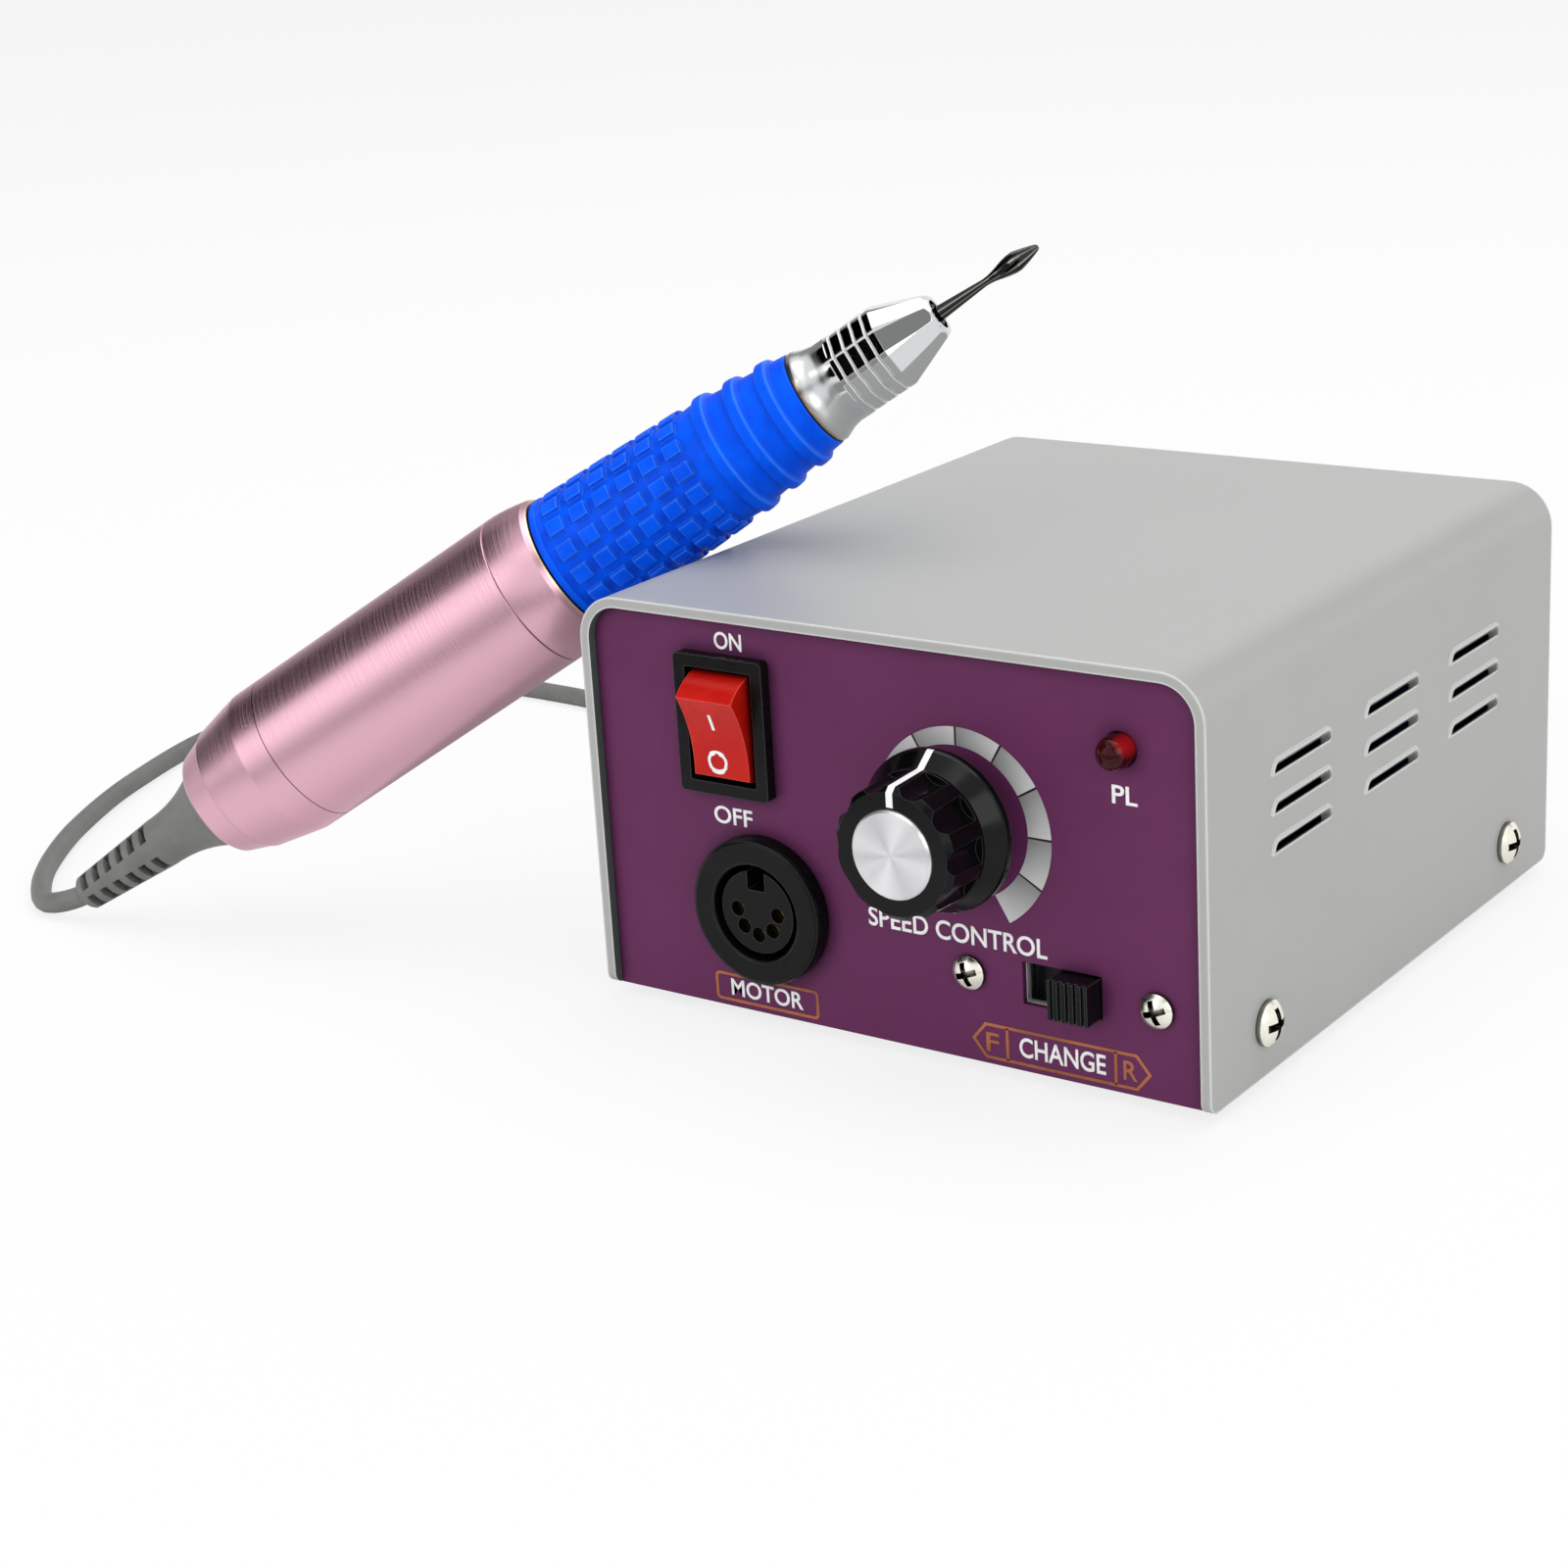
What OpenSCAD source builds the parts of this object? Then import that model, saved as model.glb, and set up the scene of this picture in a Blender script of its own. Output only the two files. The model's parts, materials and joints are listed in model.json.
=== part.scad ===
// Nail drill machine: a control box, and a handpiece on a cord that leans on the box's left edge.
// Millimetres, +Z up, front towards -Y. The origin is on the table, under the middle of box and handpiece.

/* [Control box] */
// Width of the cover
box_w = 106; // [104:1:112]
// Depth of the cover, front to back
box_d = 116; // [114:1:124]
// Height of the cover
box_h = 62; // [62:1:68]
// Outer radius of the cover's two long bends
bend_r = 7; // [5:0.5:9]
// Thickness of the cover's sheet
sheet = 1.6; // [1.2:0.1:1.8]
// Thickness of the chassis sheet
chassis_t = 1.2; // [1:0.1:1.5]
// Height of the rubber feet
foot_h = 3; // [2.5:0.5:5]
// How far the front panel sits behind the cover's edge
panel_inset = 1.5; // [1:0.1:3]
// How far the cover and the front panel hang below the chassis, round the feet
skirt_drop = 1.1; // [0:0.1:2]

/* [Louvres] */
// Louvres in a row on each side
louvre_cols = 3; // [1:1:3]
// Rows of louvres on each side
louvre_rows = 3; // [1:1:3]
// Length of one louvre
louvre_len = 18; // [14:0.5:19]
// Height of one louvre's mouth
louvre_h = 1.75; // [1.6:0.05:2.2]
// How deep the lip of a louvre is pressed in
louvre_depth = 1.9; // [1.9:0.1:3]

/* [Controls] */
// Swing of the rocker from off to on, in degrees
rocker_swing = 30; // [24:1:32]
// Radius of the knob's skirt
skirt_r = 12.1; // [11.2:0.1:12.4]
// Flutes round the knob
flutes = 10; // [6:1:14]
// Height of the knob over the panel
knob_h = 17; // [15:0.5:20]
// Radius of the motor socket's flange
socket_r = 11.5; // [11:0.1:12.5]

/* [Handpiece] */
// Lean of the handpiece over the table, in degrees
lean = 32.4; // [28:0.2:36]
// Turn of the handpiece away from the box's front, in degrees
yaw = 25; // [20:1:30]
// Radius of the motor housing
body_r = 13.2; // [12.9:0.1:14]
// Rows of pads along the grip
pad_rows = 6; // [4:1:6]
// Pads in one row round the grip
pads_round = 16; // [10:1:18]
// Flats round the nose
nose_flats = 10; // [8:1:12]
// Radius of the burr's shank, a standard 3/32 inch
shank_r = 1.175; // [1.175:0.005:1.19]

/* [Cord] */
// Diameter of the handpiece cord
cord_d = 3.6; // [3:0.1:3.6]
// Turns in each of the coil's two layers
coil_turns = 2.5; // [1.5:1:2.5]

/* [Hidden] */
$fn = 48;
eps = 0.01;
gap = 0.1;

// Place of the box's middle in the frame of the whole set
set_x = 50;
set_y = 4;

// Box walls, measured from the box's middle
half_w = box_w / 2;
half_d = box_d / 2;
top_z = foot_h + box_h;
inner_w = box_w - 2 * sheet - 2 * gap;
inner_h = box_h - sheet - gap;
inner_r = bend_r - sheet - gap;
panel_t = 1;
panel_y = -half_d + panel_inset;
wall_in = panel_t + chassis_t;
rear_y = half_d - 1.5;
floor_z = foot_h + chassis_t;
lip_h = 17;

// Places on the front panel: x from the middle, z over the table
rocker_at = [-27.2, 47.4];
socket_at = [-22.37, 19.23];
knob_at = [12.36, 38.62];
lamp_at = [39.12, 52.75];
slide_at = [28.81, 15.59];
slide_screw_gap = 30.6;
gland_at = [-34, 22];

// Side screws and feet
side_screw_y = 41.5;
side_screw_z = 9.9;
foot_x = 38;
foot_y = 42;

// Louvre places on a side, by column and row
louvre_pitch_y = 29.2;
louvre_pitch_z = 5.8;
louvre_top_z = 47.5;
louvre_shift_y = -0.8;
louvre_r = 1.7;
louvre_crest = 0.35;
louvre_rim = 0.45;

// Power switch: the rocker is a slice of a drum round its pivot
bezel = [16, 21.4, 2];
rocker_w = 10;
rocker_drum = 8.4;
rocker_edge = 52;
rocker_sag = 1;
pivot_z = -1;
pivot_r = 1.2;
switch_in = [12, 17.6];
switch_out = [13.2, 19.3];
switch_deep = 14;

// Motor socket
flange_h = 3;
socket_bore = 7.6;
socket_barrel = 9.5;
socket_deep = 12;
insert_r = 6.5;
insert_z = 2.2;
pin_circle = 3.65;
pin_angles = [180, 225, 270, 315, 360];
pin_r = 0.7;

// Speed control
bush_r = 3.5;
shaft_r = 3;
skirt_z = 4.8;
skirt_top = 8.6;
grip_top_r = 9.8;
cap_r = 6.5;
pointer_w = 1.1;

// Direction switch
window = [12.9, 6.5];
lever = [6.4, 6];
lever_out = 4;
slide_travel = window[0] - lever[0] - 0.3;
carrier = window[0] + slide_travel + 0.3;

// Transformer, circuit board and what stands on it
core = [44, 18, 37];
core_at = [-17, 20];
leg_w = 15;
yoke = 7.5;
strap_t = 0.8;
ear_w = 8;
board = [38, 62, 1.6];
board_at = [27, 18];
board_z = floor_z + 8;

// Handpiece: distances along its axis, from the tail of the strain relief
bell_end = 30.9;
cap_rear = 31;
cap_front = 50;
sleeve_rear = 99;
grip_rear = 107;
pads_start = 109;
pad_pitch = 4.5;
grip_front = 155;
nose_rear = 155.2;
nose_band = 161;
nose_cone = 170;
nose_tip = 178.5;
burr_rear = 162;
head_rear = 187;
burr_tip = 196.8;

// Handpiece: radii
cap_rear_r = 9.6;
sleeve_front_r = 12.1;
grip_rear_r = 11.5;
pads_end_r = 10.5;
lip_r = 8.1;
pad_h = 0.8;
pad_gap = 1.6;
grip_bore = 8.05;
neck_bore = 6.95;
bearing_r = 5.5;
spindle_r = 2.5;
nose_bore = 4.6;
band_r = 6.9;
collet_r = 1.85;
motor_r = 11.6;
flange_r = 8.2;

// The grip rests on the cover's left bend, so the tail follows from the lean, the turn and the bend
rest_y = -28.3;
rest_s = 127.4;
rest_r = 11.2;
rest_gap = 0.3;
axis = [cos(lean) * cos(yaw), cos(lean) * sin(yaw), sin(lean)];
off_bend = [-axis[2], 0, axis[0]] / norm([axis[2], axis[0]]);
bend_line = [set_x - half_w + bend_r, set_y + rest_y, top_z - bend_r];
tail = bend_line + off_bend * (bend_r + rest_r + rest_gap) - axis * rest_s;

// Cord route on the table, from the tail to the coil
cord_r = cord_d / 2;
coil_z = cord_r + 1.3;
route = [[-113, -71, 2.1], [-121, -65.5, 1.9], [-130, -55, 1.9], [-140, -39, 1.9], [-150, -16, 1.9],
         [-157, 14, 1.9], [-152, 44, 1.9], [-134, 62, 1.9], [-108, 64.5, 1.9], [-72, 60, 1.9],
         [-36, 64, 2], [-6, 69, 2.6]];
steps = 4;

// Plug, along its own axis from the cord
plug_r = 8.6;
relief_len = 9;
handle_end = 37;
shell_end = 48;
shell_r = 7.4;

// Coil: two layers, in and out again, with half a turn between them
coil_at = [45, 96];
coil_pitch = 4.7;
coil_layer = 4.5;
coil_out = 26.5;
coil_in = coil_out - coil_pitch * coil_turns;
loop_rings = 24;
climb = 0.5;
plug_at = [coil_at[0] - cord_d, coil_at[1] + coil_out, max(coil_z + coil_layer, plug_r + 0.2)];
coil_start = [coil_at[0] - cord_d, coil_at[1] - coil_out, coil_z];

// Placing

module on_box() {
  translate([set_x, set_y, 0]) children();
}

// Local z points out of the front panel, local y up
module on_panel(at) {
  translate([set_x + at[0], set_y + panel_y, at[1]]) rotate([90, 0, 0]) children();
}

// Local z points out of the rear wall, local y up
module on_rear(at) {
  translate([set_x - at[0], set_y + rear_y, at[1]]) rotate([90, 0, 180]) children();
}

// Local z runs along the handpiece from its tail to the burr
module on_handpiece() {
  translate(tail) rotate([0, 90 - lean, yaw]) children();
}

module on_plug() {
  translate(plug_at) rotate([0, -90, 0]) children();
}

// Shared shapes

// An upright outline with two round top corners, standing on its base line
module round_top(w, h, r) {
  translate([-w / 2, 0]) square([w, h - r]);
  translate([-w / 2 + r, 0]) square([w - 2 * r, h]);
  for (s = [-1, 1]) translate([s * (w / 2 - r), h - r]) circle(r);
}

module round_rect(w, h, r) {
  square([w - 2 * r, h], center = true);
  square([w, h - 2 * r], center = true);
  for (x = [-1, 1], y = [-1, 1]) translate([x * (w / 2 - r), y * (h / 2 - r)]) circle(r);
}

module block(size, z0) {
  translate([-size[0] / 2, -size[1] / 2, z0]) cube(size);
}

module rod(r, z0, z1) {
  translate([0, 0, z0]) cylinder(r = r, h = z1 - z0);
}

module pipe(r_out, r_in, z0, z1) {
  difference() {
    rod(r_out, z0, z1);
    rod(r_in, z0 - 1, z1 + 1);
  }
}

// A pan head on a shank, head up from z = 0: a straight edge, a dome and a deep cross recess
module pan_screw(head_r, head_h, shank, len) {
  rise = 0.65 * head_h;
  ball = (head_r * head_r + rise * rise) / (2 * rise);
  difference() {
    union() {
      intersection() {
        translate([0, 0, head_h - ball]) sphere(ball);
        rod(head_r, 0, head_h + 1);
      }
      rod(shank, -len, eps);
    }
    for (a = [0, 90]) rotate([0, 0, a]) block([head_r * 1.4, head_r * 0.34, head_h], head_h * 0.1);
  }
}

// A tube of n sides through a list of points, with square ends
function unit(v) = v / norm(v);
function heading(path, i) = unit(path[min(i + 1, len(path) - 1)] - path[max(i - 1, 0)]);
function ring(p, t, r, n) =
  let (side = unit(cross(t, [0, 0, 1])), up = cross(side, t))
  [for (k = [0:n - 1]) p + r * (cos(360 * (k + 0.5) / n) * side + sin(360 * (k + 0.5) / n) * up)];

module tube(path, r, n, first, last) {
  m = len(path);
  points = [for (i = [0:m - 1])
    each ring(path[i], i == 0 ? first : i == m - 1 ? last : heading(path, i), r, n)];
  walls = [for (i = [0:m - 2], k = [0:n - 1])
    let (a = i * n + k, b = i * n + (k + 1) % n) each [[a, b, a + n], [b, b + n, a + n]]];
  ends = [for (k = [1:n - 2]) each [[0, k + 1, k], [(m - 1) * n, (m - 1) * n + k, (m - 1) * n + k + 1]]];
  polyhedron(points, concat(walls, ends));
}

// Control box: cover and chassis

// A louvre is cut along its lower edge and pressed in: its face slopes inwards from a raised crest at z = 0.
// Local x runs inwards from the cover's outer face. The side outline has round upper corners.
louvre_low = louvre_h + 0.25;

module louvre_side(section, len, h, r) {
  intersection() {
    rotate([90, 0, 0]) linear_extrude(len + 2, center = true) polygon(section);
    rotate([90, 0, 90]) translate([0, -h, -2]) linear_extrude(12) round_top(len, h, r);
  }
}

module louvre_lip() {
  lip = 0.9;
  translate([0, 0, lip]) louvre_side([[0.5, 0], [1, 0], [louvre_depth + lip, -louvre_low - lip],
    [0.5, -louvre_low - lip]], louvre_len + 2 * lip, louvre_low + lip, louvre_r + lip);
}

// The crest round the top of the mouth: a wedge that follows the outline, straight and round both corners
module louvre_wedge() {
  wedge = [[0, 0.4], [0, -louvre_crest], [louvre_rim, 0], [louvre_rim, 0.4]];
  rotate([90, 0, 90]) {
    rotate([90, 0, 90]) linear_extrude(louvre_len - 2 * louvre_r, center = true) polygon(wedge);
    for (s = [0, 1]) mirror([s, 0, 0]) translate([louvre_len / 2 - louvre_r, -louvre_r, 0])
      rotate_extrude(angle = 90) translate([louvre_r, 0]) polygon(wedge);
  }
}

// The hollow outside the lip, with the lower cut edge sloping down inside the sheet
module louvre_hollow() {
  fall = 0.62;
  steep = louvre_low / (louvre_depth + louvre_crest);
  low = louvre_h + fall * louvre_depth;
  louvre_side([[-1, steep * (1 - louvre_crest)], [louvre_depth, -louvre_low], [louvre_depth, -low],
    [-1, -louvre_h + fall]], louvre_len, low, louvre_r);
}

function louvre_y(c) = (c - (louvre_cols - 1) / 2) * louvre_pitch_y + louvre_shift_y;

module each_louvre() {
  for (side = [0, 1], c = [0:louvre_cols - 1], r = [0:louvre_rows - 1])
    mirror([side, 0, 0])
      translate([half_w, louvre_y(c), louvre_top_z - r * louvre_pitch_z])
        mirror([1, 0, 0]) children();
}

module side_screw_places() {
  for (side = [-1, 1], y = [-1, 1])
    translate([side * half_w, y * side_screw_y, side_screw_z]) rotate([0, side * 90, 0]) children();
}

module top_cover() {
  corner = 1.8;
  base = foot_h - skirt_drop;
  wall_h = box_h + skirt_drop;
  color("#b9bab8") on_box() difference() {
    union() {
      translate([0, 0, base]) rotate([90, 0, 0]) linear_extrude(box_d, center = true) difference() {
        round_top(box_w, wall_h, bend_r);
        translate([0, -1]) round_top(box_w - 2 * sheet, wall_h - sheet + 1, bend_r - sheet);
      }
      each_louvre() louvre_lip();
      each_louvre() louvre_wedge();
    }
    each_louvre() louvre_hollow();
    side_screw_places() rod(2.15, -3, 3);
    for (y = [-1, 1]) translate([0, y * (half_d - corner), base + corner]) rotate([0, 90, 0]) difference() {
      translate([-1, y > 0 ? 0 : -corner - 1, -half_w - 1]) cube([corner + 2, corner + 1, box_w + 2]);
      translate([0, 0, -half_w - 2]) cylinder(r = corner, h = box_w + 4);
      translate([-corner, -corner, -half_w - 2]) cube([corner, 2 * corner, box_w + 4]);
    }
  }
}

module wall_outline() {
  round_top(inner_w, inner_h, inner_r);
}

// Every hole in the front panel, cut through from z0 to z1 out of the panel's face
module panel_holes(z0, z1) {
  on_panel(rocker_at) block([switch_out[0] + 0.2, switch_out[1] + 0.2, z1 - z0], z0);
  on_panel(socket_at) rod(socket_barrel + gap, z0, z1);
  on_panel(knob_at) rod(bush_r + gap, z0, z1);
  on_panel(lamp_at) rod(2.6, z0, z1);
  on_panel(slide_at) {
    block([window[0], window[1], z1 - z0], z0);
    for (s = [-1, 1]) translate([s * slide_screw_gap / 2, 0, 0]) rod(1.6, z0, z1);
  }
}

module front_panel() {
  color("#6a365a") difference() {
    on_panel([0, foot_h]) translate([0, 0, -panel_t]) linear_extrude(panel_t) {
      wall_outline();
      translate([-inner_w / 2, -skirt_drop]) square([inner_w, skirt_drop + 1]);
    }
    panel_holes(-3, 1);
  }
}

module chassis() {
  depth = rear_y - panel_y - panel_t;
  color("#8d8f8d") difference() {
    union() {
      on_panel([0, foot_h]) translate([0, 0, -wall_in]) linear_extrude(chassis_t) wall_outline();
      on_rear([0, foot_h]) translate([0, 0, -chassis_t]) linear_extrude(chassis_t) wall_outline();
      on_box() translate([-inner_w / 2, panel_y + panel_t, foot_h]) cube([inner_w, depth, chassis_t]);
      on_box() for (s = [0, 1]) mirror([s, 0, 0])
        translate([inner_w / 2 - chassis_t, -half_d + 12, foot_h]) cube([chassis_t, box_d - 24, lip_h]);
    }
    panel_holes(-5, 1);
    on_rear(gland_at) rod(5.1, -5, 5);
    on_box() side_screw_places() rod(2.1, -6, 3);
    on_box() strap_ears() rod(1.6, -5, 5);
  }
}

module cover_screws() {
  color("#e2dfd2") on_box() side_screw_places() pan_screw(3.4, 2.2, 2, 7);
}

module rubber_feet() {
  color("#202122") on_box() for (x = [-1, 1], y = [-1, 1])
    translate([x * foot_x, y * foot_y, 0]) cylinder(r1 = 5.4, r2 = 6.2, h = foot_h);
}

// Power switch

module rocker_housing() {
  color("#222424") on_panel(rocker_at) difference() {
    union() {
      linear_extrude(bezel[2]) round_rect(bezel[0], bezel[1], 0.8);
      block([switch_out[0], switch_out[1], switch_deep + eps], -switch_deep);
    }
    block([switch_in[0], switch_in[1], 20], -8.5);
    translate([0, 0, pivot_z]) rotate([0, 90, 0]) rod(pivot_r + 0.05, -6.55, 6.55);
  }
}

module rocker_terminals() {
  color("#c9a24a") on_panel(rocker_at) for (y = [-6, 0])
    translate([0, y, 0]) block([4.8, 0.8, 8], -switch_deep - 8);
}

// A drum slice with a hollow face, tilted so that its lower edge lies near the bezel: switched off
module rocker() {
  edge_y = rocker_drum * sin(rocker_edge);
  edge_z = rocker_drum * cos(rocker_edge);
  dish_r = (edge_y * edge_y + rocker_sag * rocker_sag) / (2 * rocker_sag);
  color("#d8291c") on_panel(rocker_at) translate([0, 0, pivot_z]) rotate([rocker_swing / 2, 0, 0]) {
    difference() {
      rotate([0, 90, 0]) rod(rocker_drum, -rocker_w / 2, rocker_w / 2);
      block([20, 20, 20], -24);
      translate([0, 0, edge_z - rocker_sag + dish_r]) rotate([0, 90, 0]) rod(dish_r, -10, 10);
    }
    rotate([0, 90, 0]) rod(pivot_r, -6.4, 6.4);
  }
}

// Motor socket

module din_housing() {
  color("#1d1f1f") on_panel(socket_at) difference() {
    union() {
      rotate_extrude() polygon([[0, 0], [socket_r, 0], [socket_r, flange_h - 0.8],
        [socket_r - 0.2, flange_h - 0.25], [socket_r - 0.7, flange_h], [0, flange_h]]);
      rod(socket_barrel, -socket_deep, eps);
    }
    rod(socket_bore, -socket_deep + 2, 5);
    rotate_extrude() polygon([[socket_bore - 0.1, flange_h + 0.1], [socket_bore - 0.1, flange_h - 0.3],
      [socket_bore + 0.35, flange_h + 0.1]]);
  }
}

module pin_places() {
  for (a = pin_angles) rotate([0, 0, a]) translate([pin_circle, 0, 0]) children();
}

module din_insert() {
  color("#2a2c2c") on_panel(socket_at) difference() {
    rod(insert_r, -socket_deep + 2, insert_z);
    translate([0, insert_r, 0]) block([3.2, 6.2, 9], -5);
    pin_places() rod(1.2, -socket_deep + 3, 3);
  }
}

module din_contacts() {
  color("#c8b06a") on_panel(socket_at) pin_places() difference() {
    rod(1.15, -socket_deep + 3, insert_z - 2.2);
    rod(0.75, -socket_deep + 4, 1);
  }
}

// Pilot lamp

module lamp_lens() {
  stem = 1.7;
  color("#8a1010") on_panel(lamp_at) {
    rod(2.5, -6, stem);
    translate([0, 0, stem]) intersection() {
      sphere(2.5);
      rod(3, 0, 3);
    }
  }
}

module lamp_holder() {
  color("#222424") on_panel(lamp_at) pipe(4.2, 2.6, -7, -wall_in);
}

// Speed control

module pot_body() {
  color("#9a9d9e") on_panel(knob_at) difference() {
    union() {
      rod(8.2, -13, -wall_in);
      rod(bush_r, -wall_in - eps, 4);
      translate([0, -9, 0]) block([14, 6, 1.6], -8);
    }
    rod(shaft_r + 0.05, -11, 5);
  }
}

module pot_nut() {
  color("#b9bbb8") on_panel(knob_at) difference() {
    cylinder(r = 6.2, h = 2.4, $fn = 6);
    rod(bush_r + 0.05, -1, 4);
  }
}

module pot_shaft() {
  color("#c4c6c4") on_panel(knob_at) difference() {
    rod(shaft_r, -10.8, 14);
    translate([0, -5.6, 0]) block([8, 8, 9], 6.4);
  }
}

module knob_blank() {
  difference() {
    rotate_extrude() polygon([[0, skirt_z], [skirt_r, skirt_z], [skirt_r, skirt_top - 2.8],
      [skirt_r - 0.2, skirt_top - 2.4], [grip_top_r + 0.3, skirt_top], [grip_top_r, knob_h - 1.2],
      [grip_top_r - 0.8, knob_h - 0.4], [0, knob_h - 0.4]]);
    for (i = [0:flutes - 1]) rotate([0, 0, 360 * (i + 0.5) / flutes + 90])
      translate([grip_top_r + 1.7, 0, 0]) rod(2.6, skirt_top + 0.6, knob_h + 1);
  }
}

// The pointer's inlay: across the face, down the side and over the skirt
module pointer_slot() {
  translate([-pointer_w / 2, cap_r + 0.4, knob_h - 0.9]) cube([pointer_w, 6, 2]);
  translate([-pointer_w / 2, grip_top_r - 0.7, skirt_top - 2.9]) cube([pointer_w, 8, knob_h]);
}

module speed_knob() {
  color("#1b1c1c") on_panel(knob_at) difference() {
    knob_blank();
    pointer_slot();
    rod(cap_r + 0.15, knob_h - 1.4, knob_h + 1);
    rod(8.4, 0, skirt_z + 1.6);
    difference() {
      rod(shaft_r + 0.05, 3, 14.2);
      translate([0, -5.65, 0]) block([8, 8, 9], 6.4);
    }
  }
}

module knob_cap() {
  color("#d9dadb") on_panel(knob_at) rotate_extrude() polygon([[0, knob_h - 1.4], [cap_r, knob_h - 1.4],
    [cap_r, knob_h - 0.3], [cap_r - 0.3, knob_h], [0, knob_h]]);
}

module knob_pointer() {
  color("#f2f2f0") on_panel(knob_at) intersection() {
    knob_blank();
    pointer_slot();
  }
}

// Direction switch

module slide_switch_frame() {
  color("#a8aaa8") on_panel(slide_at) difference() {
    block([slide_screw_gap + 8, 10, 0.8], -wall_in - 0.8);
    block([window[0], window[1], 4], -wall_in - 2);
    for (s = [-1, 1]) translate([s * slide_screw_gap / 2, 0, 0]) rod(1.6, -wall_in - 2, 0);
  }
}

module slide_switch_base() {
  color("#7a5a38") on_panel(slide_at) {
    difference() {
      block([27.2, 10, 8], -wall_in - 8.8);
      block([carrier + slide_travel + 0.4, 8, 6], -wall_in - 6.6);
    }
    for (x = [-6, 0, 6], y = [-2.5, 2.5]) translate([x, y, 0]) block([1.6, 0.6, 5], -wall_in - 13.8);
  }
}

module slide_lever() {
  x0 = window[0] / 2 - 0.15 - lever[0] / 2;
  color("#202222") on_panel(slide_at) translate([x0, 0, 0]) difference() {
    union() {
      block([lever[0], lever[1], lever_out + wall_in + 1.2], -wall_in - 1.2);
      block([carrier, 7.4, 2], -wall_in - 3);
    }
    for (i = [-2:2]) translate([i * 1.25, 0, 0]) block([0.55, 8, 1], lever_out - 0.6);
  }
}

module switch_screws() {
  color("#e6e3d6") on_panel(slide_at) for (s = [-1, 1])
    translate([s * slide_screw_gap / 2, 0, 0]) rotate([0, 0, 20]) pan_screw(2.6, 1.7, 1.5, 5.5);
}

// Power supply

module on_core() {
  on_box() translate([core_at[0], core_at[1], floor_z + core[2] / 2]) children();
}

module strap_ears() {
  for (s = [-1, 1])
    translate([core_at[0] + s * (core[0] / 2 + strap_t + ear_w / 2), core_at[1], floor_z]) children();
}

module transformer_core() {
  color("#4a4c4e") on_core() rotate([90, 0, 0]) linear_extrude(core[1], center = true) difference() {
    square([core[0], core[2]], center = true);
    for (s = [-1, 1]) translate([s * (leg_w / 2 + yoke / 2), 0])
      square([yoke, core[2] - 2 * yoke], center = true);
  }
}

module transformer_winding() {
  color("#b5793a") on_core() linear_extrude(core[2] - 2 * yoke - 0.4, center = true) difference() {
    round_rect(leg_w + 2 * yoke - 0.4, core[1] + 14, 3);
    square([leg_w + 0.2, core[1] + 0.2], center = true);
  }
}

module transformer_strap() {
  in_x = core[0] / 2 + 0.1;
  out_x = in_x + strap_t;
  in_z = core[2] + 0.1;
  out_z = in_z + strap_t;
  color("#9c9ea0") difference() {
    on_core() rotate([90, 0, 0]) linear_extrude(core[1] - 4, center = true) translate([0, -core[2] / 2])
      polygon([[-out_x - ear_w, 0], [-in_x, 0], [-in_x, in_z], [in_x, in_z], [in_x, 0], [out_x + ear_w, 0],
        [out_x + ear_w, strap_t], [out_x, strap_t], [out_x, out_z], [-out_x, out_z], [-out_x, strap_t],
        [-out_x - ear_w, strap_t]]);
    on_box() strap_ears() rod(1.6, -1, 3);
  }
}

module transformer_screws() {
  color("#c9c9c4") on_box() strap_ears() translate([0, 0, strap_t]) pan_screw(2.8, 1.8, 1.5, 3.5);
}

module board_corners() {
  for (x = [-1, 1], y = [-1, 1]) translate([x * (board[0] / 2 - 4), y * (board[1] / 2 - 4), 0]) children();
}

module circuit_board() {
  color("#2f5f3a") on_box() translate([board_at[0], board_at[1], board_z]) difference() {
    block(board, 0);
    board_corners() rod(1.6, -1, 4);
  }
}

module board_standoffs() {
  color("#d8d4c4") on_box() translate([board_at[0], board_at[1], 0]) board_corners() {
    rod(2.8, floor_z, board_z);
    rod(1.5, board_z - eps, board_z + 3);
  }
}

module capacitor() {
  color("#24427a") on_box() translate([board_at[0] + 10, board_at[1] + 14, board_z + board[2]]) {
    rod(8, 0, 24);
    rod(7.2, 24 - eps, 25);
  }
}

module heat_sink() {
  color("#b4b6b8") on_box() translate([board_at[0], board_at[1] - 20, board_z + board[2]]) {
    block([30, 3, 26], 0);
    for (i = [-3:3]) translate([i * 4.6, 5, 0]) block([1.4, 7.2, 26], 0);
  }
}

module power_transistor() {
  color("#2a2a2c") on_box() translate([board_at[0], board_at[1] - 24, board_z + board[2]]) {
    translate([0, 0.2, 0]) block([10, 4.6, 9], 5);
    translate([0, 1.85, 0]) block([10, 1.3, 7], 14 - eps);
    for (x = [-2.54, 0, 2.54]) translate([x, 0, 0]) block([0.8, 0.6, 5.1], 0);
  }
}

module cable_gland() {
  color("#202222") on_rear(gland_at) difference() {
    union() {
      rod(5, -9, eps);
      cylinder(r = 7.6, h = 4, $fn = 6);
      rotate_extrude() polygon([[0, 4 - eps], [6.3, 4 - eps], [6.3, 9], [4.8, 11.5], [0, 11.5]]);
    }
    rod(3.3, -10, 13);
  }
}

module gland_nut() {
  color("#2a2c2c") on_rear(gland_at) translate([0, 0, -chassis_t - 4]) difference() {
    cylinder(r = 7.6, h = 4, $fn = 6);
    rod(5.05, -1, 6);
  }
}

// Handpiece housing

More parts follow.
